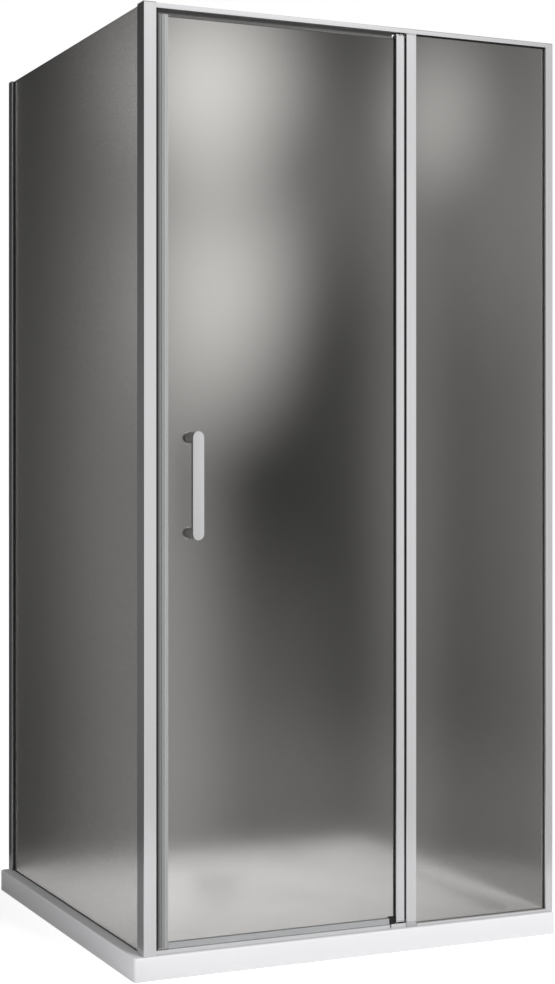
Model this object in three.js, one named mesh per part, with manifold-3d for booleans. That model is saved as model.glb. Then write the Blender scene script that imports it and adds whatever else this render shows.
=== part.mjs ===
// Corner shower enclosure: a low tray, a fixed side pane, and a front with a pivot door and a
// fixed pane, all in bright aluminium profiles. Millimetres, +X right along the front, +Y to the
// back wall, +Z up. The origin is the centre of the tray's underside.
import * as THREE from 'three';
import { mergeVertices } from 'three/addons/utils/BufferGeometryUtils.js';
import Module from 'manifold-3d';

const wasm = await Module();
wasm.setup();

// Clearances
const fit = 0.3; // between pieces that touch
const pinFit = 0.2; // radial, between pins and their bushes
const cutOverrun = 2; // a cutting tool runs this far past what it cuts

// Tray
const trayLength = 1000;
const trayWidth = 900;
const trayHeight = 48.5;
const trayCorner = 6;
const trayEdgeRound = 4;
const trayShell = 5;
const rimWidth = 62;
const basinDepth = 23;
const basinFall = 4;
const basinCorner = 60;
const basinDraft = 13;
const basinRound = 5;
const boardInset = 12; // from the basin's foot to the edge of the base board
const boardCorner = 20;

// Waste
const drainSetback = 175; // from the back edge of the tray
const wasteHoleRadius = 45;
const wasteSeatRadius = 59;
const wasteSeatDepth = 3;
const wasteSeatWall = 3;
const boardHoleRadius = 66;
const sleeveWall = 3;
const sleeveFloorGap = 1.5;
const wasteGasketThickness = 1.5;
const wasteGasketSeat = 1.5; // the gasket's edge keeps this far from the seat's edges
const flangeThickness = 2;
const flangeChamfer = 0.8;
const clampWidth = 12;
const clampHeight = 8;
const clampNotches = 6;
const clampNotchWidth = 9;
const clampNotchDepth = 4;
const basketWall = 1.5;
const basketTaper = 2;
const basketFloorZ = 9;
const basketLipWidth = 6;
const basketLipThickness = 1;
const basketHoles = 12;
const basketHoleRadius = 3;
const pegRadius = 4;
const pegTipGap = 1;
const socketWall = 1.6;
const socketHeight = 10;
const coverRadius = 57;
const coverEdge = 1.6;
const coverCrown = 2.2;
const coverLift = 3.2; // water gap under the cover's edge
const coverFeet = 3;
const coverFootRadius = 2.5;
const coverFootInset = 6;

// Frame
const enclosureHeight = 1926.5; // above the tray's rim
const postInsetLeft = 21; // from the tray's left edge
const postInsetFront = 3; // from the tray's front edge
const postFace = 28;
const postDepth = 36;
const postGrooveDepth = 14;
const wall = 1.8; // wall of every extrusion
const edgeRound = 1.2; // on the extrusions' outer corners
const railSetback = 6; // the rails' front, behind the post's front
const frameDepth = 18; // front to back, of all front members and wall profiles
const grooveDepth = 10; // glazing groove
const gasketBase = 1.2; // gasket under the glass edge
const glass = 6;
const glassArris = 0.6;
const capThickness = 2;
const headerHeight = 10.5;
const headerRound = 3; // on its upper front edge
const headerBracketLength = 25;
const headerBracketThickness = 4;
const thresholdHeight = 9;
const thresholdDepth = 26;
const thresholdFlat = 10; // level part behind the threshold's front
const thresholdRear = 3.2; // height of its rear edge
const thresholdWall = 1.4;
const sillHeight = 6;
const sillFloor = 2;
const gasketLine = 1.2; // the black gasket shows this far under the header

// Strike side
const strikeSlotWidth = 10;
const strikeSlotDepth = 6;
const strikeReach = 7.5; // beyond the post's face
const strikeWall = 1.2;
const magnetClearance = 0.4;
const strikeMagnetWidth = 3.2;

// Front, from the right wall to the door
const frontProfileFace = 18.2;
const fixedSight = 328; // glass seen between wall profile and mullion
const mullionFace = 24.5;
const hingeGap = 4;
const stileFace = 20.8;
const hingeSlotWidth = 5;
const hingeSlotDepth = 4;
const hingeLipWidth = 2.4;
const hingeLipGap = 1.9; // from the stile, whose front corner passes the lip as the door opens

// Side pane
const sideProfileFace = 23.3;
const sideSealHeight = 1.6;
const sideGlassDrop = 0.5; // below the top of the post's cap
const sideSealInset = 0.4;

// Wall channels and their screw holes
const channelBase = 2;
const channelWall = 1.5;
const screwHoles = 3;
const screwHoleRadius = 2.6;
const screwHoleInset = 150; // from each end of the channel

// Hinge
const pivotInset = 6.8; // from the stile's front and from its right side
const pinRadius = 2.5;
const pinGrip = 28; // length inside the stile
const pinChamfer = 0.5;
const bushWall = 1.3;
const bushFlangeRadius = 5.5;
const upperFlange = 1.2;
const lowerFlange = 2.7;
const stileEdgeRound = 2.4;
const stileFrontRound = 3; // on the front corner by the mullion
const stileTopGap = 7.5; // from the stile to the header
const endCapThickness = 1.2;
const endCapRaise = 2.5;
const raiseWidth = 8.6;
const raiseRound = 2.2;
const lowerCapThickness = 2.7;
const pivotBlockHeight = 10;
const pivotBlockLength = 37;
const blockReach = 16.6; // of the upper block, left of the pivot
const thresholdJoint = 2.6; // gap between threshold and lower block
const pinFootGap = 0.6; // under the lower pin's end
const pinHeadReach = 6.5; // of the upper pin, into the header

// Door
const doorTopGap = 10.8; // header to glass
const doorGlassLift = 16.6; // tray's rim to glass
const sealLeg = 1.3;
const sealGrip = 12; // of the magnetic seal, over the glass
const sealPocket = 8.4;
const sealRibHeight = 0.5;
const sealRibWidth = 1.6;
const sealRibPitch = 6.5;
const sealRibs = 3;
const sealFootLift = 12; // tray's rim to the magnetic seal
const dripHeight = 12.5;
const dripBridge = 1.4;
const dripFin = 1;
const dripFinSplay = 2.2;
const clipLap = 7.8; // of the corner clip, over the glass
const stopBody = 3.7;
const stopLip = 1.7;
const stopLap = 2.5; // below the top of the door's glass
const stopEndGap = 3; // from the stile

// Mullion ends
const mullionTopGap = 3; // header to mullion
const footHeight = 11.2;

// Handle
const handleFromEdge = 59.7; // centre line, from the edge of the door's glass
const handleMiddle = 949.5; // above the tray's rim
const handlePitch = 194.6;
const handleWidth = 25.9;
const handleThickness = 8;
const handleProud = 47; // bar's front, from the glass
const handleRound = 1.2;
const handlePostRadius = 12.2;
const handlePostChamfer = 0.8;
const handleWasher = 1;
const handleBoreRadius = 6;
const handleScrewRadius = 3;
const handleScrewReach = 18; // into the post
const handleCapHeight = 6;
const handleHeadRadius = 5;
const handleHeadHeight = 3.5;
const collarWall = 1.6;

// Faceting
const cornerSteps = 6;
const edgeSteps = 5;
const filletSteps = 4;
const boreSteps = 24;
const wasteSteps = 48;

// Stations worked out from the sizes above
const wallX = trayLength / 2;
const wallY = trayWidth / 2;
const rim = trayHeight;
const top = rim + enclosureHeight;
const foot = rim + fit; // underside of what stands on the rim
const postLeft = -trayLength / 2 + postInsetLeft;
const postRight = postLeft + postFace;
const postFront = -trayWidth / 2 + postInsetFront;
const postBack = postFront + postDepth;
const front = postFront + railSetback;
const back = front + frameDepth;
const middle = front + frameDepth / 2;
const grooveWidth = frameDepth - 2 * wall;
const grooveFront = front + wall;
const grooveBack = back - wall;
const glassFront = middle - glass / 2;
const glassBack = middle + glass / 2;
const sideX = postLeft + frameDepth / 2;
const glassBite = grooveDepth - 2 * fit - gasketBase;
const frontFlank = wallX - fit - frontProfileFace;
const sideFlank = wallY - fit - sideProfileFace;
const mullionRight = frontFlank - fixedSight;
const mullionLeft = mullionRight - mullionFace;
const stileRight = mullionLeft - hingeGap;
const stileLeft = stileRight - stileFace;
const pivotX = stileRight - pivotInset;
const pivotY = front + pivotInset;
const blockLeft = mullionLeft - fit - pivotBlockLength;
const thresholdRight = blockLeft - thresholdJoint;
const headerBottom = top - headerHeight;
const headerGroove = headerHeight - wall;
const profileTop = top - capThickness - fit;
const sealLeft = postRight + strikeReach + fit;
const doorEdge = sealLeft + sealPocket + sealLeg + fit;
const sealFront = glassFront - fit - sealLeg;
const sealBack = glassBack + fit + sealLeg;
const sealRight = doorEdge + sealGrip;
const doorTop = headerBottom - doorTopGap;
const doorBottom = rim + doorGlassLift;
const stileTop = headerBottom - stileTopGap;
const blockTop = foot + pivotBlockHeight;
const stileCapBottom = blockTop + fit + lowerFlange + fit;
const stileBottom = stileCapBottom + lowerCapThickness + fit;
const bushRadius = pinRadius + pinFit + bushWall;
const pinBore = pinRadius + fit;
const handleX = doorEdge + handleFromEdge;
const handleZ = rim + handleMiddle;
const barBack = glassFront - handleProud + handleThickness;

// Finishes
const satinAluminium = new THREE.MeshStandardMaterial({ color: 0xd2d3d6, metalness: 1, roughness: 0.22 });
const polishedChrome = new THREE.MeshStandardMaterial({ color: 0xdedfe2, metalness: 1, roughness: 0.08 });
const smokedGlass = new THREE.MeshStandardMaterial({
  color: 0x8b8a88, roughness: 0.45, transparent: true, opacity: 0.7,
});
const clearVinyl = new THREE.MeshStandardMaterial({ color: 0xb4b7ba, roughness: 0.35 });
const blackRubber = new THREE.MeshStandardMaterial({ color: 0x171717, roughness: 0.7 });
const greyVinyl = new THREE.MeshStandardMaterial({ color: 0x4a4a49, roughness: 0.55 });
const whiteAcrylic = new THREE.MeshStandardMaterial({ color: 0xf1f1f4, roughness: 0.18 });
const greyPlastic = new THREE.MeshStandardMaterial({ color: 0xa9aaac, roughness: 0.45 });
const whitePlastic = new THREE.MeshStandardMaterial({ color: 0xe4e4e4, roughness: 0.5 });
const baseBoardWood = new THREE.MeshStandardMaterial({ color: 0xb58e62, roughness: 0.85 });
const steel = new THREE.MeshStandardMaterial({ color: 0xb9bbbe, metalness: 1, roughness: 0.3 });
const ferrite = new THREE.MeshStandardMaterial({ color: 0x2b2826, roughness: 0.6 });

const enclosure = new THREE.Group();

// Adds one piece to the enclosure, with a material of its own.
function addPiece(name, geometry, finish, place = {}) {
  const piece = new THREE.Mesh(geometry, finish.clone());
  piece.name = name;
  const { x = 0, y = 0, z = 0, turn } = place;
  piece.position.set(x, y, z);
  if (turn) piece.rotation.set(...turn);
  enclosure.add(piece);
  return piece;
}

// Turns that lay an extrusion, drawn in its own XY plane, along a world axis.
const alongX = [Math.PI / 2, Math.PI / 2, 0]; // drawn in Y and Z
const alongY = [Math.PI / 2, 0, 0]; // drawn in X and Z, and it runs towards the front
const quarterTurn = [0, 0, Math.PI / 2];

// The points of a corner rounded with an arc that touches both sides.
function roundedCorner(before, corner, after, radius) {
  const toBefore = before.clone().sub(corner).normalize();
  const toAfter = after.clone().sub(corner).normalize();
  const halfAngle = Math.acos(toBefore.dot(toAfter)) / 2;
  const centre = toBefore.clone().add(toAfter).normalize();
  centre.multiplyScalar(radius / Math.sin(halfAngle)).add(corner);
  const tangent = radius / Math.tan(halfAngle);
  const start = toBefore.multiplyScalar(tangent).add(corner).sub(centre).angle();
  const end = toAfter.multiplyScalar(tangent).add(corner).sub(centre).angle();
  let sweep = end - start;
  if (sweep > Math.PI) sweep -= 2 * Math.PI;
  if (sweep < -Math.PI) sweep += 2 * Math.PI;
  const points = [];
  for (let step = 0; step <= filletSteps; step += 1) {
    const angle = start + (sweep * step) / filletSteps;
    points.push(new THREE.Vector2(Math.cos(angle), Math.sin(angle)).multiplyScalar(radius).add(centre));
  }
  return points;
}

// An outline from corners [x, y] or [x, y, radius].
function outline(corners) {
  const points = corners.map(([x, y]) => new THREE.Vector2(x, y));
  const count = corners.length;
  return corners.flatMap(([, , radius], index) => {
    if (!radius) return [points[index]];
    const before = points[(index + count - 1) % count];
    return roundedCorner(before, points[index], points[(index + 1) % count], radius);
  });
}

function rectangle(left, low, right, high, radius = 0) {
  return outline([[left, low, radius], [right, low, radius], [right, high, radius], [left, high, radius]]);
}

function circle(x, y, radius) {
  const points = [];
  for (let step = 0; step < boreSteps; step += 1) {
    const angle = (2 * Math.PI * step) / boreSteps;
    points.push(new THREE.Vector2(x + radius * Math.cos(angle), y + radius * Math.sin(angle)));
  }
  return points;
}

// A straight extrusion of an outline with holes, from z = 0 to its length.
function extrusion(points, holes, length) {
  const shape = new THREE.Shape(points);
  shape.holes = holes.map((hole) => new THREE.Path(hole));
  return new THREE.ExtrudeGeometry(shape, { depth: length, bevelEnabled: false });
}

// A plate whose edges are bevelled on both faces, from z = 0 to its thickness.
function bevelledPlate(points, holes, thickness, bevel, steps = 1) {
  const shape = new THREE.Shape(points);
  shape.holes = holes.map((hole) => new THREE.Path(hole));
  const plate = new THREE.ExtrudeGeometry(shape, {
    depth: thickness - 2 * bevel,
    bevelEnabled: true,
    bevelThickness: bevel,
    bevelSize: bevel,
    bevelOffset: -bevel,
    bevelSegments: steps,
  });
  return plate.translate(0, 0, bevel);
}

// A turned piece about the Z axis, from a profile of [radius, height].
function turned(profile, steps) {
  const points = profile.map(([radius, height]) => new THREE.Vector2(radius, height));
  return new THREE.LatheGeometry(points, steps).rotateX(Math.PI / 2);
}

function ringProfile(inner, outer, low, high) {
  return [[inner, low], [outer, low], [outer, high], [inner, high], [inner, low]];
}

// Booleans
function solidOf(geometry) {
  const bare = geometry.clone();
  bare.deleteAttribute('normal');
  bare.deleteAttribute('uv');
  const merged = mergeVertices(bare);
  return new wasm.Manifold(new wasm.Mesh({
    numProp: 3,
    vertProperties: new Float32Array(merged.attributes.position.array),
    triVerts: new Uint32Array(merged.index.array),
  }));
}

function geometryOf(solid) {
  const mesh = solid.getMesh();
  const geometry = new THREE.BufferGeometry();
  geometry.setAttribute('position', new THREE.BufferAttribute(mesh.vertProperties, mesh.numProp));
  geometry.setIndex(new THREE.BufferAttribute(mesh.triVerts, 1));
  geometry.computeVertexNormals();
  return geometry;
}

function cut(geometry, tools) {
  return geometryOf(tools.reduce((solid, tool) => solid.subtract(solidOf(tool)), solidOf(geometry)));
}

function join(geometry, additions) {
  return geometryOf(additions.reduce((solid, piece) => solid.add(solidOf(piece)), solidOf(geometry)));
}

// A gasket that wraps a glass edge inside a glazing groove. The mouth is the middle of the
// groove's opening, inward points to its floor, proud is how far the legs stand out of it.
function gasketOutline(mouth, inward, depth, proud = 0) {
  const across = new THREE.Vector2(-inward.y, inward.x);
  const outer = grooveWidth / 2 - fit;
  const inner = glass / 2 + fit;
  const at = (along, side) => mouth.clone().addScaledVector(inward, along).addScaledVector(across, side);
  return [
    at(-proud, outer), at(-proud, inner), at(depth - fit - gasketBase, inner),
    at(depth - fit - gasketBase, -inner), at(-proud, -inner), at(-proud, -outer),
    at(depth - fit, -outer), at(depth - fit, outer),
  ];
}

// A closed ring of points round a rectangle with round corners, and one round a circle, both
// with the same number of points, so that rings can be lofted one to the next.
function rectangleRing(halfX, halfY, radius, z) {
  const points = [];
  for (let quarter = 0; quarter < 4; quarter += 1) {
    const signX = quarter === 0 || quarter === 3 ? 1 : -1;
    const signY = quarter < 2 ? 1 : -1;
    const centre = new THREE.Vector3(signX * (halfX - radius), signY * (halfY - radius), z);
    for (let step = 0; step <= cornerSteps; step += 1) {
      const angle = (Math.PI / 2) * (quarter + step / cornerSteps);
      points.push(new THREE.Vector3(Math.cos(angle), Math.sin(angle), 0).multiplyScalar(radius).add(centre));
    }
  }
  const corner = cornerSteps + 1;
  return points.flatMap((point, index) => {
    if (index % corner !== cornerSteps) return [point];
    const next = points[(index + 1) % points.length];
    const stretch = [point];
    for (let step = 1; step <= edgeSteps; step += 1) {
      stretch.push(point.clone().lerp(next, step / (edgeSteps + 1)));
    }
    return stretch;
  });
}

function circleRing(x, y, radius, z) {
  const count = 4 * (cornerSteps + 1 + edgeSteps);
  const points = [];
  for (let index = 0; index < count; index += 1) {
    const angle = Math.PI / 4 + (2 * Math.PI * (index - cornerSteps / 2)) / count;
    points.push(new THREE.Vector3(x + radius * Math.cos(angle), y + radius * Math.sin(angle), z));
  }
  return points;
}

// A closed skin through rings, the last joined to the first.
function loft(rings) {
  const count = rings[0].length;
  const triangles = [];
  rings.forEach((ring, row) => {
    const next = (row + 1) % rings.length;
    for (let index = 0; index < count; index += 1) {
      const after = (index + 1) % count;
      const [a, b] = [row * count + index, row * count + after];
      const [c, d] = [next * count + after, next * count + index];
      triangles.push(a, d, c, a, c, b);
    }
  });
  const geometry = new THREE.BufferGeometry().setFromPoints(rings.flat());
  geometry.setIndex(triangles);
  geometry.computeVertexNormals();
  return geometry;
}

// Tray: one shell from the waste hole over basin, rim and apron, and back underneath.
const drainY = wallY - drainSetback;
const floorEdge = rim - basinDepth;
const floorDrain = floorEdge - basinFall;
const wasteSeat = floorDrain - wasteSeatDepth;
const trayUnder = wasteSeat - wasteSeatWall;

function trayShellRings() {
  const halfX = trayLength / 2;
  const halfY = trayWidth / 2;
  const outer = (inset, z, radius) => rectangleRing(halfX - inset, halfY - inset, radius, z);
  const basin = (inset, z) => outer(rimWidth + inset, z, basinCorner - inset);
  const roundShare = 0.29; // where a quarter round passes its middle
  const draftRoundShare = 0.35;
  const edgeMiddle = trayEdgeRound * roundShare;
  return [
    circleRing(0, drainY, wasteHoleRadius, wasteSeat),
    circleRing(0, drainY, wasteSeatRadius, wasteSeat),
    circleRing(0, drainY, wasteSeatRadius + fit, floorDrain),
    basin(basinDraft + basinRound, floorEdge),
    basin(basinDraft, floorEdge + basinRound * draftRoundShare),
    basin(basinDraft - basinRound * draftRoundShare, floorEdge + basinRound),
    basin(basinRound * roundShare, rim - basinRound),
    basin(0, rim - basinRound * draftRoundShare),
    basin(-basinRound * draftRoundShare, rim - basinRound * roundShare * roundShare),
    basin(-basinRound, rim),
    outer(trayEdgeRound, rim, trayCorner - trayEdgeRound),
    outer(edgeMiddle, rim - edgeMiddle, trayCorner - edgeMiddle),
    outer(0, rim - trayEdgeRound, trayCorner),
    outer(0, 0, trayCorner),
    outer(trayShell, 0, trayCorner - trayShell),
    outer(trayShell, rim - trayShell, trayCorner - trayShell),
    basin(-trayShell, rim - trayShell),
    basin(basinDraft - trayShell, trayUnder),
    circleRing(0, drainY, wasteHoleRadius, trayUnder),
  ];
}

function buildTray() {
  addPiece('shower_tray', loft(trayShellRings()), whiteAcrylic);

  const boardX = trayLength / 2 - rimWidth - basinDraft - boardInset;
  const boardY = trayWidth / 2 - rimWidth - basinDraft - boardInset;
  const board = extrusion(
    rectangle(-boardX, -boardY, boardX, boardY, boardCorner),
    [circle(0, drainY, boardHoleRadius)],
    trayUnder - fit,
  );
  addPiece('base_board', board, baseBoardWood);
}

// Waste: flange and gasket on the seat, clamp ring below, and a cover that lifts out with the
// hair basket on its peg.
function buildWaste() {
  const place = { y: drainY };
  const sleeveOuter = wasteHoleRadius - wasteGasketSeat - wasteGasketThickness;
  const sleeveInner = sleeveOuter - sleeveWall;
  const flangeOuter = wasteSeatRadius - wasteGasketSeat + fit;
  const gasketTop = wasteSeat + fit + wasteGasketThickness;
  const flangeLow = gasketTop + fit;
  const flangeTop = flangeLow + flangeThickness;

  const gasketOuter = wasteSeatRadius - wasteGasketSeat;
  const gasket = ringProfile(sleeveOuter + fit, gasketOuter, wasteSeat + fit, gasketTop);
  addPiece('waste_gasket', turned(gasket, wasteSteps), blackRubber, place);

  const flange = [
    [sleeveInner, sleeveFloorGap], [sleeveOuter, sleeveFloorGap], [sleeveOuter, flangeLow],
    [flangeOuter, flangeLow], [flangeOuter, flangeTop - flangeChamfer],
    [flangeOuter - flangeChamfer, flangeTop], [sleeveInner, flangeTop], [sleeveInner, sleeveFloorGap],
  ];
  addPiece('waste_flange', turned(flange, wasteSteps), polishedChrome, place);

  const clampInner = sleeveOuter + fit;
  const clampOuter = clampInner + clampWidth;
  const clampTop = trayUnder - fit;
  const ring = turned(ringProfile(clampInner, clampOuter, clampTop - clampHeight, clampTop), wasteSteps);
  const notches = [];
  for (let index = 0; index < clampNotches; index += 1) {
    const notch = new THREE.BoxGeometry(
      clampNotchDepth * 2, clampNotchWidth, clampHeight + 2 * cutOverrun,
    );
    notch.translate(clampOuter, 0, clampTop - clampHeight / 2);
    notches.push(notch.rotateZ((2 * Math.PI * index) / clampNotches));
  }
  addPiece('waste_clamp_ring', cut(ring, notches), whitePlastic, place);

  const basketOuter = sleeveInner - fit;
  const basketFoot = basketOuter - basketTaper;
  const lipLow = flangeTop + fit;
  const lipTop = lipLow + basketLipThickness;
  const floorTop = basketFloorZ + basketWall;
  const socketInner = pegRadius + fit;
  const socketOuter = socketInner + socketWall;
  const basket = turned([
    [0, basketFloorZ], [basketFoot, basketFloorZ], [basketOuter, lipLow],
    [basketOuter + basketLipWidth, lipLow], [basketOuter + basketLipWidth, lipTop],
    [basketOuter - basketWall, lipTop], [basketFoot - basketWall, floorTop],
    [socketOuter, floorTop], [socketOuter, floorTop + socketHeight],
    [socketInner, floorTop + socketHeight], [socketInner, floorTop], [0, floorTop],
  ], wasteSteps);
  const basketHoleCircle = (socketOuter + basketFoot - basketWall) / 2;
  const holes = [];
  for (let index = 0; index < basketHoles; index += 1) {
    const drill = new THREE.CylinderGeometry(
      basketHoleRadius, basketHoleRadius, basketWall + 2 * cutOverrun, boreSteps / 2,
    );
    drill.rotateX(Math.PI / 2).translate(basketHoleCircle, 0, basketFloorZ + basketWall / 2);
    holes.push(drill.rotateZ((2 * Math.PI * index) / basketHoles));
  }
  addPiece('hair_basket', cut(basket, holes), greyPlastic, place);

  const coverLow = flangeTop + coverLift;
  const coverRim = coverLow + coverEdge;
  const crownShares = [[0.9, 0.35], [0.7, 0.68], [0.45, 0.88], [0.2, 0.98]];
  const crown = crownShares.map(([across, up]) => [coverRadius * across, coverRim + coverCrown * up]);
  const cover = turned([
    [0, floorTop + pegTipGap], [pegRadius, floorTop + pegTipGap], [pegRadius, coverLow],
    [coverRadius, coverLow], [coverRadius, coverRim], ...crown, [0, coverRim + coverCrown],
  ], wasteSteps);
  const feet = [];
  for (let index = 0; index < coverFeet; index += 1) {
    const height = coverLift - fit + coverEdge / 2;
    const coverFoot = new THREE.CylinderGeometry(coverFootRadius, coverFootRadius, height, boreSteps / 2);
    coverFoot.rotateX(Math.PI / 2);
    coverFoot.translate(coverRadius - coverFootInset, 0, flangeTop + fit + height / 2);
    feet.push(coverFoot.rotateZ((2 * Math.PI * index) / coverFeet));
  }
  addPiece('drain_cover', join(cover, feet), polishedChrome, place);
}

// Corner post: a hollow extrusion with a glazing groove at the back and a slot for the strike
// strip on the door side.
const strikeSlotFront = middle - strikeSlotWidth / 2;
const strikeSlotBack = middle + strikeSlotWidth / 2;
const sideGrooveLeft = sideX - grooveWidth / 2;
const sideGrooveRight = sideX + grooveWidth / 2;
const postGrooveFloor = postBack - postGrooveDepth;
const strikeSlotFloor = postRight - strikeSlotDepth;

function postOutline() {
  return outline([
    [postLeft, postFront, edgeRound], [postRight, postFront, edgeRound],
    [postRight, strikeSlotFront], [strikeSlotFloor, strikeSlotFront],
    [strikeSlotFloor, strikeSlotBack], [postRight, strikeSlotBack],
    [postRight, postBack, edgeRound], [sideGrooveRight, postBack],
    [sideGrooveRight, postGrooveFloor], [sideGrooveLeft, postGrooveFloor],
    [sideGrooveLeft, postBack], [postLeft, postBack, wall / 2],
  ]);
}

function buildPost() {
  const chamberBack = Math.min(postGrooveFloor, strikeSlotBack) - wall;
  const chambers = [
    rectangle(postLeft + wall, postFront + wall, strikeSlotFloor - wall, chamberBack),
    rectangle(sideGrooveRight + wall, strikeSlotBack + wall, postRight - wall, postBack - wall),
  ];
  const post = extrusion(postOutline(), chambers, profileTop - foot);
  addPiece('corner_post', post, satinAluminium, { z: foot });
  const cap = extrusion(postOutline(), [], capThickness);
  addPiece('corner_post_cap', cap, greyPlastic, { z: top - capThickness });

  const strikeLow = foot + thresholdHeight + fit;
  const strikeLength = headerBottom - fit - strikeLow;
  const strikeTip = postRight + strikeReach;
  const pocketRight = strikeTip - strikeWall;
  const pocketLeft = pocketRight - strikeMagnetWidth - 2 * magnetClearance;
  const pocketFront = sealFront + strikeWall;
  const pocketBack = sealBack - strikeWall;
  const strike = extrusion(
    rectangle(strikeSlotFloor + fit, sealFront, strikeTip, sealBack, strikeWall / 2),
    [rectangle(pocketLeft, pocketFront, pocketRight, pocketBack)],
    strikeLength,
  );
  addPiece('strike_strip', strike, blackRubber, { z: strikeLow });
  const magnet = rectangle(
    pocketLeft + magnetClearance, pocketFront + magnetClearance,
    pocketRight - magnetClearance, pocketBack - magnetClearance,
  );
  addPiece('strike_magnet', extrusion(magnet, [], strikeLength), ferrite, { z: strikeLow });
}

// Wall profiles: the same extrusion on both walls, drawn with X from its flank to the wall. It
// covers a channel that is screwed to the wall.
function profileOutline(face) {
  const half = frameDepth / 2;
  const web = grooveDepth + wall;
  return outline([
    [0, -half, edgeRound], [face, -half], [face, -half + wall], [web, -half + wall],
    [web, half - wall], [face, half - wall], [face, half], [0, half, edgeRound],
    [0, half - wall], [grooveDepth, half - wall], [grooveDepth, -half + wall], [0, -half + wall],
  ]);
}

function capOutline(face, notched) {
  const half = frameDepth / 2;
  const corners = [[0, -half, edgeRound], [face, -half], [face, half], [0, half, edgeRound]];
  const notch = [
    [0, half - wall], [grooveDepth, half - wall], [grooveDepth, -half + wall], [0, -half + wall],
  ];
  return outline(notched ? [...corners, ...notch] : corners);
}

function channelGeometry(face, length) {
  const half = grooveWidth / 2 - fit;
  const low = grooveDepth + wall + fit;
  const wallSide = face + fit;
  const section = outline([
    [low, -half], [wallSide, -half], [wallSide, half], [low, half],
    [low, half - channelWall], [wallSide - channelBase, half - channelWall],
    [wallSide - channelBase, -half + channelWall], [low, -half + channelWall],
  ]);
  const drills = [];
  const pitch = (length - 2 * screwHoleInset) / (screwHoles - 1);
  for (let index = 0; index < screwHoles; index += 1) {
    const drill = new THREE.CylinderGeometry(
      screwHoleRadius, screwHoleRadius, channelBase + 2 * cutOverrun, boreSteps / 2,
    );
    drill.rotateZ(Math.PI / 2);
    drills.push(drill.translate(wallSide - channelBase / 2, 0, screwHoleInset + index * pitch));
  }
  return cut(extrusion(section, [], length), drills);
}

function buildWallProfiles() {
  const walls = [
    { side: 'front', face: frontProfileFace, x: frontFlank, y: middle, notched: false },
    { side: 'side', face: sideProfileFace, x: sideX, y: sideFlank, turn: quarterTurn, notched: true },
  ];
  walls.forEach(({ side, face, x, y, turn, notched }) => {
    const length = profileTop - foot;
    const profile = extrusion(profileOutline(face), [], length);
    addPiece(`${side}_wall_profile`, profile, satinAluminium, { x, y, z: foot, turn });
    addPiece(`${side}_wall_channel`, channelGeometry(face, length), satinAluminium, { x, y, z: foot, turn });
    const cap = extrusion(capOutline(face, notched), [], capThickness);
    addPiece(`${side}_profile_cap`, cap, greyPlastic, { x, y, z: top - capThickness, turn });
  });
}

// Panes are drawn flat, with bevelled edges, and stood up by a turn.
function paneGeometry(left, low, right, high, holes = []) {
  return bevelledPlate(rectangle(left, low, right, high), holes, glass, glassArris);
}

function buildSidePane() {
  const low = foot + sideSealHeight + fit;
  const high = top - sideGlassDrop;
  const bite = postGrooveDepth - 2 * fit - gasketBase;
  const pane = paneGeometry(postBack - bite, low, sideFlank + glassBite, high);
  addPiece('side_glass', pane, smokedGlass, { x: sideX - glass / 2, turn: alongX });

  const sealHalf = glass / 2 - sideSealInset;
  const sealStart = postBack + fit;
  const sealEnd = sideFlank - fit;
  const seal = extrusion(
    rectangle(sideX - sealHalf, foot, sideX + sealHalf, foot + sideSealHeight), [], sealEnd - sealStart,
  );
  addPiece('side_bottom_seal', seal, blackRubber, { y: sealEnd, turn: alongY });

  const gaskets = [
    ['side_post_gasket', new THREE.Vector2(sideX, postBack), new THREE.Vector2(0, -1), postGrooveDepth],
    ['side_wall_gasket', new THREE.Vector2(sideX, sideFlank), new THREE.Vector2(0, 1), grooveDepth],
  ];
  gaskets.forEach(([name, mouth, inward, depth]) => {
    addPiece(name, extrusion(gasketOutline(mouth, inward, depth), [], high - low), blackRubber, { z: low });
  });
}

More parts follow.
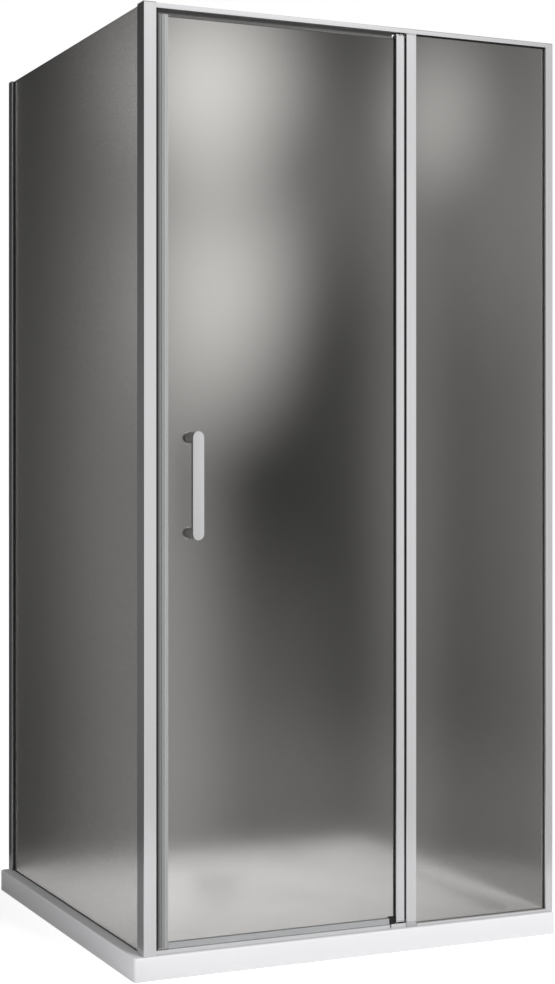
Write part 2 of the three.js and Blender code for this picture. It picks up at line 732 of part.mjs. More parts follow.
// Header, threshold and sill lie along X and are drawn in Y and Z.
function buildRails() {
  const headerLeft = postRight + fit;
  const headerLength = frontFlank - fit - headerLeft;
  const header = outline([
    [front, headerBottom, edgeRound / 2], [grooveFront, headerBottom], [grooveFront, top - wall],
    [grooveBack, top - wall], [grooveBack, headerBottom], [back, headerBottom, edgeRound / 2],
    [back, top, edgeRound], [front, top, headerRound],
  ]);
  addPiece('header_rail', extrusion(header, [], headerLength), satinAluminium, {
    x: headerLeft, turn: alongX,
  });

  const bracketTop = top - wall - fit;
  const bracket = rectangle(
    grooveFront + fit, bracketTop - headerBracketThickness, grooveBack - fit, bracketTop,
  );
  addPiece('header_post_bracket', extrusion(bracket, [], headerBracketLength), steel, {
    x: headerLeft, turn: alongX,
  });

  const stopTop = headerBottom + fit + stopBody;
  const lipFront = sealBack + fit;
  const stop = outline([
    [grooveFront + fit, headerBottom + fit], [lipFront, headerBottom + fit],
    [lipFront, doorTop - stopLap, stopLip / 4], [lipFront + stopLip, doorTop - stopLap, stopLip / 4],
    [lipFront + stopLip, headerBottom + fit], [grooveBack - fit, headerBottom + fit],
    [grooveBack - fit, stopTop], [grooveFront + fit, stopTop],
  ]);
  const stopLength = stileLeft - stopEndGap - headerLeft;
  addPiece('door_stop_seal', extrusion(stop, [], stopLength), greyVinyl, { x: headerLeft, turn: alongX });

  const thresholdBack = front + thresholdDepth;
  const ridge = front + thresholdFlat;
  const crest = foot + thresholdHeight;
  const threshold = outline([
    [front, foot], [thresholdBack, foot], [thresholdBack, foot + thresholdRear, edgeRound],
    [ridge, crest, edgeRound], [front, crest, edgeRound],
  ]);
  const chamber = outline([
    [front + thresholdWall, foot + thresholdWall],
    [thresholdBack - thresholdRear, foot + thresholdWall],
    [ridge - thresholdWall / 2, crest - thresholdWall],
    [front + thresholdWall, crest - thresholdWall],
  ]);
  const thresholdLength = thresholdRight - headerLeft;
  addPiece('threshold_rail', extrusion(threshold, [chamber], thresholdLength), satinAluminium, {
    x: headerLeft, turn: alongX,
  });

  const sillTop = foot + sillHeight;
  const sillLeft = mullionRight + fit;
  const sill = outline([
    [front, foot], [back, foot], [back, sillTop, edgeRound / 2], [grooveBack, sillTop],
    [grooveBack, foot + sillFloor], [grooveFront, foot + sillFloor], [grooveFront, sillTop],
    [front, sillTop, edgeRound / 2],
  ]);
  addPiece('fixed_sill', extrusion(sill, [], frontFlank - fit - sillLeft), satinAluminium, {
    x: sillLeft, turn: alongX,
  });
}

// Mullion between door and fixed pane, its foot, its cap with a tongue in the header, and the
// strip that closes the gap to the stile.
const hingeSlotFront = pivotY - hingeSlotWidth / 2;
const hingeSlotBack = pivotY + hingeSlotWidth / 2;

function mullionOutline() {
  return outline([
    [mullionLeft, front, edgeRound], [mullionRight, front, edgeRound],
    [mullionRight, grooveFront], [mullionRight - grooveDepth, grooveFront],
    [mullionRight - grooveDepth, grooveBack], [mullionRight, grooveBack],
    [mullionRight, back, edgeRound], [mullionLeft, back, edgeRound],
    [mullionLeft, hingeSlotBack], [mullionLeft + hingeSlotDepth, hingeSlotBack],
    [mullionLeft + hingeSlotDepth, hingeSlotFront], [mullionLeft, hingeSlotFront],
  ]);
}

function buildMullion() {
  const footTop = foot + footHeight;
  const mullionTop = headerBottom - mullionTopGap;
  const chamber = rectangle(
    mullionLeft + hingeSlotDepth + wall, grooveFront, mullionRight - grooveDepth - wall, grooveBack,
  );
  const mullion = extrusion(mullionOutline(), [chamber], mullionTop - footTop - fit);
  addPiece('mullion', mullion, satinAluminium, { z: footTop + fit });
  addPiece('mullion_foot', extrusion(mullionOutline(), [], footHeight), greyPlastic, { z: foot });

  const capLow = mullionTop + fit;
  const capHigh = headerBottom - fit;
  const plate = extrusion(mullionOutline(), [], capHigh - capLow).translate(0, 0, capLow);
  const tongueLeft = mullionLeft + fit;
  const tongueRight = mullionRight - grooveDepth;
  const tongueSection = rectangle(tongueLeft, grooveFront + fit, tongueRight, grooveBack - fit);
  const tongueTop = top - wall - fit;
  const tongue = extrusion(tongueSection, [], tongueTop - capHigh + (capHigh - capLow) / 2);
  tongue.translate(0, 0, (capLow + capHigh) / 2);
  const slotTool = extrusion(
    rectangle(
      mullionLeft - cutOverrun, hingeSlotFront, mullionLeft + hingeSlotDepth, hingeSlotBack,
    ), [], capHigh - capLow + cutOverrun,
  ).translate(0, 0, capLow - cutOverrun);
  addPiece('mullion_cap', cut(join(plate, [tongue]), [slotTool]), greyPlastic);

  const lipTip = stileRight + hingeLipGap;
  const lipFront = pivotY - hingeLipWidth / 2;
  const lipBack = pivotY + hingeLipWidth / 2;
  const strip = outline([
    [lipTip, lipFront, hingeLipWidth / 4], [mullionLeft - fit, lipFront],
    [mullionLeft + fit, hingeSlotFront + fit],
    [mullionLeft + hingeSlotDepth - fit, hingeSlotFront + fit],
    [mullionLeft + hingeSlotDepth - fit, hingeSlotBack - fit],
    [mullionLeft + fit, hingeSlotBack - fit], [mullionLeft - fit, lipBack],
    [lipTip, lipBack, hingeLipWidth / 4],
  ]);
  const stripLength = stileTop - stileBottom;
  addPiece('hinge_gap_seal', extrusion(strip, [], stripLength), blackRubber, { z: stileBottom });
}

function buildFixedPane() {
  const low = foot + sillFloor + fit + gasketBase + fit;
  const high = headerBottom + headerGroove - 2 * fit - gasketBase;
  const pane = paneGeometry(mullionRight - glassBite, low, frontFlank + glassBite, high);
  addPiece('fixed_glass', pane, smokedGlass, { y: glassBack, turn: alongY });

  const upright = [
    ['fixed_mullion_gasket', mullionRight, -1, headerBottom - fit],
    ['fixed_wall_gasket', frontFlank, 1, profileTop],
  ];
  upright.forEach(([name, x, inward, end]) => {
    const mouth = new THREE.Vector2(x, middle);
    const section = gasketOutline(mouth, new THREE.Vector2(inward, 0), grooveDepth);
    addPiece(name, extrusion(section, [], end - low), clearVinyl, { z: low });
  });

  const left = mullionRight + fit;
  const length = frontFlank - fit - left;
  const level = [
    ['fixed_top_gasket', headerBottom, 1, headerGroove, gasketLine, blackRubber],
    ['fixed_bottom_gasket', foot + sillHeight, -1, sillHeight - sillFloor, 0, clearVinyl],
  ];
  level.forEach(([name, z, inward, depth, proud, finish]) => {
    const mouth = new THREE.Vector2(middle, z);
    const section = gasketOutline(mouth, new THREE.Vector2(0, inward), depth, proud);
    addPiece(name, extrusion(section, [], length), finish, { x: left, turn: alongX });
  });
}

// Pivots: bushes in a block on the tray and in a block in the header. The pins turn with the door.
function buildPivots() {
  const seat = bushRadius + fit;
  const block = rectangle(blockLeft, front, mullionLeft - fit, back, edgeRound);
  const bore = [circle(pivotX, pivotY, seat)];
  const boreFloor = (pivotBlockHeight - fit) / 3;
  const lower = extrusion(block, bore, pivotBlockHeight);
  const plugHalf = bushFlangeRadius;
  const plug = extrusion(rectangle(
    pivotX - plugHalf, pivotY - plugHalf, pivotX + plugHalf, pivotY + plugHalf,
  ), [], boreFloor);
  addPiece('lower_pivot_block', join(lower, [plug]), satinAluminium, { z: foot });

  const place = { x: pivotX, y: pivotY };
  const bushBore = pinRadius + pinFit;
  const lowerBush = [
    [bushBore, foot + boreFloor + fit], [bushRadius, foot + boreFloor + fit],
    [bushRadius, blockTop + fit], [bushFlangeRadius, blockTop + fit],
    [bushFlangeRadius, blockTop + fit + lowerFlange], [bushBore, blockTop + fit + lowerFlange],
    [bushBore, foot + boreFloor + fit],
  ];
  addPiece('lower_pivot_bush', turned(lowerBush, boreSteps), blackRubber, place);

  const upperBlock = extrusion(rectangle(
    pivotX - blockReach, grooveFront + fit, mullionLeft, grooveBack - fit,
  ), bore, headerGroove - 2 * fit);
  addPiece('upper_pivot_block', upperBlock, greyPlastic, { z: headerBottom + fit });

  const flangeTop = headerBottom;
  const bushTop = headerBottom + headerGroove - 2 * fit;
  const upperBush = [
    [bushBore, flangeTop - upperFlange], [bushFlangeRadius, flangeTop - upperFlange],
    [bushFlangeRadius, flangeTop], [bushRadius, flangeTop], [bushRadius, bushTop],
    [bushBore, bushTop], [bushBore, flangeTop - upperFlange],
  ];
  addPiece('upper_pivot_bush', turned(upperBush, boreSteps), blackRubber, place);

  const pin = (low, high) => turned([
    [0, low], [pinRadius - pinChamfer, low], [pinRadius, low + pinChamfer],
    [pinRadius, high - pinChamfer], [pinRadius - pinChamfer, high], [0, high],
  ], boreSteps);
  const pinLow = foot + boreFloor + pinFootGap;
  addPiece('lower_pivot_pin', pin(pinLow, stileBottom + pinGrip), steel, place);
  addPiece('upper_pivot_pin', pin(stileTop - pinGrip, headerBottom + pinHeadReach), steel, place);
}

// Hinge stile: glazing groove on the door side, pin bore near the front corner by the mullion,
// that corner rounded so that it clears mullion and closing strip as it turns.
function stileCorners() {
  return [
    [stileLeft, front, edgeRound], [stileRight, front, stileFrontRound],
    [stileRight, back, stileEdgeRound], [stileLeft, back, edgeRound],
  ];
}

function buildStile() {
  const grooveFloor = stileLeft + grooveDepth;
  const grooved = outline([
    ...stileCorners(), [stileLeft, grooveBack], [grooveFloor, grooveBack],
    [grooveFloor, grooveFront], [stileLeft, grooveFront],
  ]);
  const pinHole = circle(pivotX, pivotY, pinBore);
  const chamber = rectangle(grooveFloor + wall, pivotY + pinBore + wall, stileRight - wall, grooveBack);
  const stile = extrusion(grooved, [pinHole, chamber], stileTop - stileBottom);
  addPiece('hinge_stile', stile, satinAluminium, { z: stileBottom });

  const capOutlinePoints = outline(stileCorners());
  const lowerCap = extrusion(capOutlinePoints, [pinHole], lowerCapThickness);
  addPiece('stile_bottom_cap', lowerCap, satinAluminium, { z: stileCapBottom });

  const capLow = stileTop + fit;
  const capHigh = capLow + endCapThickness;
  const plate = extrusion(capOutlinePoints, [pinHole], endCapThickness).translate(0, 0, capLow);
  const raise = extrusion(outline([
    [stileLeft + fit, capLow + endCapThickness / 2], [stileLeft + raiseWidth, capLow + endCapThickness / 2],
    [stileLeft + raiseWidth, capHigh + endCapRaise], [stileLeft + fit, capHigh + endCapRaise, raiseRound],
  ]), [], frameDepth - 2 * stileEdgeRound);
  raise.rotateX(Math.PI / 2).translate(0, back - stileEdgeRound, 0);
  addPiece('stile_top_cap', join(plate, [raise]), satinAluminium);

  const section = gasketOutline(new THREE.Vector2(stileLeft, middle), new THREE.Vector2(1, 0), grooveDepth);
  addPiece('stile_gasket', extrusion(section, [], doorTop - doorBottom), blackRubber, { z: doorBottom });
}

// Door pane, with the bores for the handle.
function buildDoorPane() {
  const bores = [-1, 1].map((side) => circle(handleX, handleZ + (side * handlePitch) / 2, handleBoreRadius));
  const pane = paneGeometry(doorEdge, doorBottom, stileLeft + glassBite, doorTop, bores);
  addPiece('door_glass', pane, smokedGlass, { y: glassBack, turn: alongY });
}

// Seals of the door: the magnetic one clips over the free edge and has ribs on its front, the
// drip seal clips under the lower edge and has two fins, and a black clip closes the corner
// between the drip seal and the stile, over the pivot block.
function buildDoorSeals() {
  const pocketRight = sealLeft + sealPocket;
  const ribs = [];
  for (let index = 0; index < sealRibs; index += 1) {
    const centre = sealRight - sealRibWidth - index * sealRibPitch;
    ribs.push([centre - sealRibWidth / 2, sealFront], [centre, sealFront - sealRibHeight]);
    ribs.push([centre + sealRibWidth / 2, sealFront]);
  }
  ribs.sort(([first], [second]) => first - second);
  const legBack = sealBack - sealLeg;
  const seal = outline([
    [sealLeft, sealFront, sealLeg / 2], ...ribs, [sealRight, sealFront],
    [sealRight, sealFront + sealLeg], [doorEdge - fit, sealFront + sealLeg],
    [doorEdge - fit, legBack], [sealRight, legBack], [sealRight, sealBack],
    [sealLeft, sealBack, sealLeg / 2],
  ]);
  const pocket = rectangle(sealLeft + sealLeg, sealFront + sealLeg, pocketRight, legBack);
  const sealFoot = rim + sealFootLift;
  const sealLength = doorTop - sealFoot;
  addPiece('magnet_seal', extrusion(seal, [pocket], sealLength), clearVinyl, { z: sealFoot });
  const magnet = rectangle(
    sealLeft + sealLeg + magnetClearance, sealFront + sealLeg + magnetClearance,
    pocketRight - magnetClearance, legBack - magnetClearance,
  );
  addPiece('magnet_strip', extrusion(magnet, [], sealLength), ferrite, { z: sealFoot });

  const dripLow = foot + thresholdHeight + fit;
  const dripTop = dripLow + dripHeight;
  const bridgeTop = doorBottom - fit;
  const bridgeLow = bridgeTop - dripBridge;
  const drip = outline([
    [sealFront - dripFinSplay / 4, dripLow], [sealFront + dripFin, dripLow],
    [sealFront + sealLeg + dripFinSplay / 4, bridgeLow], [legBack - dripFinSplay / 4, bridgeLow],
    [sealBack - dripFin + dripFinSplay / 4, dripLow + dripFinSplay / 2],
    [sealBack + dripFinSplay / 4, dripLow + dripFinSplay / 2],
    [sealBack, bridgeTop], [sealBack, dripTop], [legBack, dripTop], [legBack, bridgeTop],
    [sealFront + sealLeg, bridgeTop], [sealFront + sealLeg, dripTop], [sealFront, dripTop],
    [sealFront, bridgeTop],
  ]);
  const dripLeft = sealRight + fit;
  addPiece('drip_seal', extrusion(drip, [], thresholdRight - dripLeft), clearVinyl, {
    x: dripLeft, turn: alongX,
  });

  const clipLow = blockTop + fit;
  const clipTop = doorBottom + clipLap;
  const clip = outline([
    [sealFront, clipLow], [sealBack, clipLow], [sealBack, clipTop, sealLeg / 4], [legBack, clipTop],
    [legBack, bridgeTop], [sealFront + sealLeg, bridgeTop], [sealFront + sealLeg, clipTop],
    [sealFront, clipTop, sealLeg / 4],
  ]);
  const clipLeft = thresholdRight + fit;
  addPiece('door_corner_clip', extrusion(clip, [], stileLeft - fit - clipLeft), blackRubber, {
    x: clipLeft, turn: alongX,
  });
}

// Handle: a flat bar with round ends on two turned posts, each screwed through the glass from a
// cap inside.
function buildHandle() {
  const half = handleWidth / 2;
  const points = [];
  [1, -1].forEach((side) => {
    const turnSteps = 2 * cornerSteps;
    for (let step = 0; step <= turnSteps; step += 1) {
      const angle = (Math.PI * step) / turnSteps + (side > 0 ? 0 : Math.PI);
      points.push(new THREE.Vector2(
        handleX + half * Math.cos(angle),
        handleZ + (side * handlePitch) / 2 + half * Math.sin(angle),
      ));
    }
  });
  const bar = bevelledPlate(points, [], handleThickness, handleRound, 2);
  addPiece('handle_bar', bar, polishedChrome, { y: barBack, turn: alongY });

  const screwFit = handleScrewRadius + fit;
  const washerFront = glassFront - fit - handleWasher;
  const washerProfile = [
    [screwFit, -handleWasher], [handlePostRadius - handlePostChamfer, -handleWasher],
    [handlePostRadius - handlePostChamfer, 0], [screwFit + collarWall, 0],
    [screwFit + collarWall, glass - fit], [screwFit, glass - fit], [screwFit, -handleWasher],
  ];
  const postLength = washerFront - fit - (barBack + fit);
  const chamfer = handlePostChamfer;
  const postProfile = [
    [0, 0], [handlePostRadius - chamfer, 0], [handlePostRadius, chamfer],
    [handlePostRadius, postLength - chamfer], [handlePostRadius - chamfer, postLength],
    [screwFit, postLength], [screwFit, postLength - handleScrewReach - 2 * fit],
    [0, postLength - handleScrewReach - 2 * fit],
  ];
  const capProfile = [
    [screwFit, 0], [handlePostRadius, 0], [handlePostRadius, handleCapHeight - chamfer],
    [handlePostRadius - chamfer, handleCapHeight], [handleHeadRadius + fit, handleCapHeight],
    [handleHeadRadius + fit, handleCapHeight - handleHeadHeight - fit],
    [screwFit, handleCapHeight - handleHeadHeight - fit], [screwFit, 0],
  ];
  const capFoot = glassBack + fit;
  const headFoot = capFoot + handleCapHeight - handleHeadHeight;
  const screwTip = washerFront - fit - handleScrewReach;
  const screwProfile = [
    [0, screwTip], [handleScrewRadius, screwTip], [handleScrewRadius, headFoot],
    [handleHeadRadius, headFoot], [handleHeadRadius, headFoot + handleHeadHeight - fit],
    [0, headFoot + handleHeadHeight - fit],
  ];
  const pieces = [
    ['post', postProfile, barBack + fit, polishedChrome],
    ['washer', washerProfile, glassFront - fit, clearVinyl],
    ['cap', capProfile, capFoot, polishedChrome],
    ['screw', screwProfile, 0, steel],
  ];
  [['upper', 1], ['lower', -1]].forEach(([end, side]) => {
    const z = handleZ + (side * handlePitch) / 2;
    pieces.forEach(([kind, profile, y, finish]) => {
      const geometry = turned(profile, boreSteps);
      addPiece(`handle_${kind}_${end}`, geometry, finish, { x: handleX, y, z, turn: [-Math.PI / 2, 0, 0] });
    });
  });
}

buildTray();
buildWaste();
buildPost();
buildWallProfiles();
buildSidePane();
buildRails();
buildMullion();
buildFixedPane();
buildPivots();
buildStile();
buildDoorPane();
buildDoorSeals();
buildHandle();

export default enclosure;
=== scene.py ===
"""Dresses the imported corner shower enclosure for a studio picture.

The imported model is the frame: every piece at its place, in metres, +Z up, with the origin at the
centre of the tray's underside. This script gives each piece its finish, models the pieces whose
form needs finer work than the frame holds, and sets a plain studio round them.
"""

from __future__ import annotations

import logging
import math
from dataclasses import dataclass, field
from enum import Enum
from functools import cache
from typing import Callable, Iterable, Protocol, Sequence

import bmesh
import bpy
from mathutils import Euler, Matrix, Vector


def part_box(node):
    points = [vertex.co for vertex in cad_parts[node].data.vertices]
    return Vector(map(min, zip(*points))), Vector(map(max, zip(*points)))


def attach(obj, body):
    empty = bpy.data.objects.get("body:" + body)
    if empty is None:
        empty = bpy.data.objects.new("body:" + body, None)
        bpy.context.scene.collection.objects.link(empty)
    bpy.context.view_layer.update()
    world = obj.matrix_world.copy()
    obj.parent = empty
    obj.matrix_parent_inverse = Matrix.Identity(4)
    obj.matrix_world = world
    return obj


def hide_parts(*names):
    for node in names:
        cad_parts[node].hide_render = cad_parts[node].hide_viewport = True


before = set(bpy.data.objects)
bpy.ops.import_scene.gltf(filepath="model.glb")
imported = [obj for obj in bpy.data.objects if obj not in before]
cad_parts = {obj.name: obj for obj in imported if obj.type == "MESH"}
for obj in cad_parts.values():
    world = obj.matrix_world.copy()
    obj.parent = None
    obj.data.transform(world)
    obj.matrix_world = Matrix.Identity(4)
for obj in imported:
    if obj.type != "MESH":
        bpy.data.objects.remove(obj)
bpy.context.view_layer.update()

log = logging.getLogger("enclosure")

MM = 0.001
Socket = bpy.types.NodeSocket
Piece = bpy.types.Object
Colour = tuple[float, float, float]
Profile = Sequence[tuple[float, float]]

# Where the values of a noise pattern mostly lie
NOISE_RANGE = (0.3, 0.7)

# The grain of a moulding tool
GRAIN_PITCH = 0.5 * MM
GRAIN_DEPTH = 0.02 * MM


class Direction(Enum):
    """A direction in the frame, as an index of X, Y and Z."""

    X = 0
    Y = 1
    Z = 2


# Materials


class Recipe:
    """One material's node tree, built with short calls."""

    def __init__(self, name: str, **constants: float | Colour) -> None:
        """Makes the material and sets the shader's plain values.

        Args:
            name: The material's name.
            **constants: Values for the shader's sockets, with _ for a space in a socket's name.
        """
        self.material = bpy.data.materials.new(name)
        self.material.use_nodes = True
        self.nodes = self.material.node_tree.nodes
        self.shader = next(node for node in self.nodes if node.type == "BSDF_PRINCIPLED")
        for socket, value in constants.items():
            colour = (*value, 1.0) if isinstance(value, tuple) else value
            self.shader.inputs[socket.replace("_", " ")].default_value = colour

    def add(self, kind: str, **settings: object) -> bpy.types.Node:
        """Adds a node and sets its properties.

        Args:
            kind: The node's type.
            **settings: The node's properties.

        Returns:
            The node.
        """
        node = self.nodes.new(kind)
        for name, value in settings.items():
            setattr(node, name, value)
        return node

    def feed(self, target: Socket, value: Socket | float | Sequence[float]) -> None:
        """Joins a socket to a target, or sets the target to a plain value.

        Args:
            target: The socket that takes the value.
            value: A socket, a number or a vector.
        """
        if isinstance(value, Socket):
            self.material.node_tree.links.new(value, target)
        else:
            target.default_value = value

    def math(self, operation: str, *values: Socket | float) -> Socket:
        """Adds a sum of one to three values.

        Args:
            operation: The sum's name.
            *values: The values.

        Returns:
            The result's socket.
        """
        node = self.add("ShaderNodeMath", operation=operation)
        for socket, value in zip(node.inputs, values):
            self.feed(socket, value)
        return node.outputs[0]

    def span(self, value: Socket, low: float, high: float, bottom: float, top: float) -> Socket:
        """Maps a value from one range to another, eased at both ends.

        Args:
            value: The value.
            low: Where the range starts.
            high: Where the range ends.
            bottom: The result at low.
            top: The result at high.

        Returns:
            The result's socket.
        """
        node = self.add("ShaderNodeMapRange", interpolation_type="SMOOTHSTEP")
        for socket, item in zip(node.inputs[:5], (value, low, high, bottom, top)):
            self.feed(socket, item)
        return node.outputs[0]

    def place(self, stretch: Sequence[float] = (1, 1, 1), shift: Sequence[float] = (0, 0, 0)) -> Socket:
        """Gives the place on the piece, stretched and shifted.

        Args:
            stretch: The scale along X, Y and Z.
            shift: The shift along X, Y and Z.

        Returns:
            The coordinate's socket.
        """
        coordinates = self.add("ShaderNodeTexCoord")
        mapping = self.add("ShaderNodeMapping")
        self.feed(mapping.inputs["Vector"], coordinates.outputs["Object"])
        self.feed(mapping.inputs["Location"], shift)
        self.feed(mapping.inputs["Scale"], stretch)
        return mapping.outputs[0]

    def pattern(
        self, kind: str, scale: float, stretch: Sequence[float] = (1, 1, 1), **settings: float,
    ) -> Socket:
        """Adds a pattern on the piece.

        Args:
            kind: Noise, or Voronoi for the distance from the nearest of many points.
            scale: The pattern's scale, in waves per metre.
            stretch: The scale along X, Y and Z.
            **settings: Values for its other sockets.

        Returns:
            The pattern's socket.
        """
        node = self.add(f"ShaderNodeTex{kind}")
        values = {"Vector": self.place(stretch), "Scale": scale, **settings}
        for socket, value in values.items():
            self.feed(node.inputs[socket], value)
        return node.outputs[0]

    def part(self, vector: Socket, direction: Direction) -> Socket:
        """Takes one part of a vector.

        Args:
            vector: The vector.
            direction: The part's direction.

        Returns:
            The part's socket.
        """
        node = self.add("ShaderNodeSeparateXYZ")
        self.feed(node.inputs[0], vector)
        return node.outputs[direction.value]

    def turned_to(self, direction: Direction) -> Socket:
        """Gives the part of the face's own normal that lies along a direction."""
        return self.part(self.add("ShaderNodeNewGeometry").outputs["True Normal"], direction)

    def mix(self, factor: Socket | float, first: Socket | float, second: Socket | float) -> Socket:
        """Mixes two values.

        Args:
            factor: The second value's share.
            first: The first value.
            second: The second value.

        Returns:
            The result's socket.
        """
        node = self.add("ShaderNodeMix")
        for socket, value in zip(node.inputs[:1] + node.inputs[2:4], (factor, first, second)):
            self.feed(socket, value)
        return node.outputs[0]

    def mirrored(self, path: bpy.types.Node) -> Socket:
        """Says, as 0 or 1, whether a light path shows the surface in another one's gloss."""
        glossy, through = path.outputs["Is Glossy Ray"], path.outputs["Is Transmission Ray"]
        return self.math("GREATER_THAN", self.math("SUBTRACT", glossy, through), 0.5)

    def tint(self, factor: Socket, first: Colour, second: Colour) -> None:
        """Colours the surface with a mix of two colours.

        Args:
            factor: The second colour's share.
            first: The first colour.
            second: The second colour.
        """
        node = self.add("ShaderNodeMix", data_type="RGBA")
        self.feed(node.inputs[0], factor)
        self.feed(node.inputs[6], (*first, 1.0))
        self.feed(node.inputs[7], (*second, 1.0))
        self.feed(self.shader.inputs["Base Color"], node.outputs[2])

    def gloss(self, pattern: Socket, low: float, high: float) -> None:
        """Varies the roughness between two values with a noise pattern."""
        self.feed(self.shader.inputs["Roughness"], self.span(pattern, *NOISE_RANGE, low, high))

    def relief(self, height: Socket, depth: float, strength: float) -> None:
        """Raises the surface's fine relief, over any relief that it has already.

        Args:
            height: The relief's height, from 0 to 1.
            depth: The relief's depth, in metres.
            strength: How strongly it shows.
        """
        node = self.add("ShaderNodeBump")
        self.feed(node.inputs["Height"], height)
        self.feed(node.inputs["Distance"], depth)
        self.feed(node.inputs["Strength"], strength)
        normal = self.shader.inputs["Normal"]
        if normal.is_linked:
            self.feed(node.inputs["Normal"], normal.links[0].from_socket)
        self.feed(normal, node.outputs[0])

    def grain(self, roughness: float) -> None:
        """Gives the surface the fine grain of a moulding tool.

        Args:
            roughness: The surface's roughness.
        """
        pattern = self.pattern("Noise", 1 / GRAIN_PITCH)
        self.gloss(pattern, roughness - 0.04, roughness + 0.06)
        self.relief(pattern, GRAIN_DEPTH, 0.4)


def toned(colour: Colour, share: float) -> Colour:
    """Scales a colour, to white at most."""
    return tuple(min(1.0, share * channel) for channel in colour)


class Finish(Protocol):
    """What can be put on a piece: it makes its own material."""

    def material(self) -> bpy.types.Material:
        """Makes the material."""
        ...


@dataclass(frozen=True)
class BrightAluminium:
    """Bright anodised aluminium, with the faint lines of its die along the extrusion."""

    run: Direction
    colour: Colour = (0.875, 0.87, 0.885)
    darker: float = 0.945
    roughness: float = 0.18
    cloud_scale: float = 5.0
    cloud_roughness: float = 0.04
    line_pitch: float = 1.2 * MM
    line_length: float = 0.4
    line_depth: float = 0.002 * MM
    band_pitch: float = 5 * MM
    band_length: float = 2.0
    band_share: float = 0.6

    def stretch(self, pitch: float, length: float) -> list[float]:
        """Gives the scale of a pattern with this pitch, and this length along the extrusion."""
        return [1 / (length if direction is self.run else pitch) for direction in Direction]

    def material(self) -> bpy.types.Material:
        """Makes the material.

        Returns:
            The material.
        """
        recipe = Recipe(f"bright_aluminium_{self.run.name.lower()}", Metallic=1.0)
        fine = self.stretch(self.line_pitch, self.line_length)
        lines = recipe.pattern("Noise", 1.0, fine, Detail=3.0)
        broad = recipe.pattern("Noise", 1.0, self.stretch(self.band_pitch, self.band_length))
        bands = recipe.span(broad, *NOISE_RANGE, 0.0, 1.0)
        shade = recipe.mix(self.band_share, lines, bands)
        recipe.tint(shade, toned(self.colour, self.darker), self.colour)
        clouds = recipe.pattern("Noise", self.cloud_scale)
        recipe.gloss(clouds, self.roughness, self.roughness + self.cloud_roughness)
        recipe.relief(lines, self.line_depth, 0.2)
        return recipe.material


@dataclass(frozen=True)
class PolishedMetal:
    """Plated or turned metal, with the faintest smears of use."""

    name: str
    colour: Colour = (0.88, 0.885, 0.89)
    roughness: float = 0.05
    smear: float = 0.06
    metallic: float = 1.0
    smear_scale: float = 38.0
    smear_stretch: tuple[float, float, float] = (1, 1, 0.35)
    smear_range: tuple[float, float] = (0.35, 0.75)
    paler: float = 1.03

    def material(self) -> bpy.types.Material:
        """Makes the material.

        Returns:
            The material.
        """
        recipe = Recipe(self.name, Metallic=self.metallic)
        smears = recipe.pattern("Noise", self.smear_scale, self.smear_stretch, Detail=4.0)
        recipe.tint(smears, self.colour, toned(self.colour, self.paler))
        rough = recipe.span(smears, *self.smear_range, self.roughness, self.roughness + self.smear)
        recipe.feed(recipe.shader.inputs["Roughness"], rough)
        return recipe.material


@dataclass(frozen=True)
class SatinGlass:
    """Smoky etched glass: satin on both faces, polished on its edges."""

    facing: Direction
    colour: Colour = (0.86, 0.842, 0.814)
    deeper: float = 0.97
    satin: float = 0.26
    uneven: float = 0.02
    polished: float = 0.12
    face_slope: float = 0.9
    milk: float = 0.005
    index: float = 1.25
    etch_pitch: float = 0.6 * MM
    etch_depth: float = 0.01 * MM

    def material(self) -> bpy.types.Material:
        """Makes the material.

        Returns:
            The material.
        """
        recipe = Recipe(
            f"satin_glass_{self.facing.name.lower()}", Transmission_Weight=1 - self.milk, IOR=self.index,
        )
        square_on = recipe.math("ABSOLUTE", recipe.turned_to(self.facing))
        is_face = recipe.math("GREATER_THAN", square_on, self.face_slope)
        grain = recipe.pattern("Noise", 1 / self.etch_pitch)
        satin = recipe.span(grain, *NOISE_RANGE, self.satin - self.uneven, self.satin + self.uneven)
        recipe.feed(recipe.shader.inputs["Roughness"], recipe.mix(is_face, self.polished, satin))
        recipe.tint(grain, toned(self.colour, self.deeper), self.colour)
        recipe.relief(grain, self.etch_depth, 0.35)
        return recipe.material


@dataclass(frozen=True)
class Moulded:
    """Moulded or extruded plastic and rubber, with the fine grain of its tool."""

    name: str
    colour: Colour
    roughness: float = 0.45
    transmission: float = 0.0
    index: float = 1.46
    cloud_scale: float = 30.0
    darker: float = 0.92

    def material(self) -> bpy.types.Material:
        """Makes the material.

        Returns:
            The material.
        """
        recipe = Recipe(self.name, Transmission_Weight=self.transmission, IOR=self.index)
        clouds = recipe.pattern("Noise", self.cloud_scale, Detail=3.0)
        recipe.tint(clouds, toned(self.colour, self.darker), self.colour)
        recipe.grain(self.roughness)
        return recipe.material


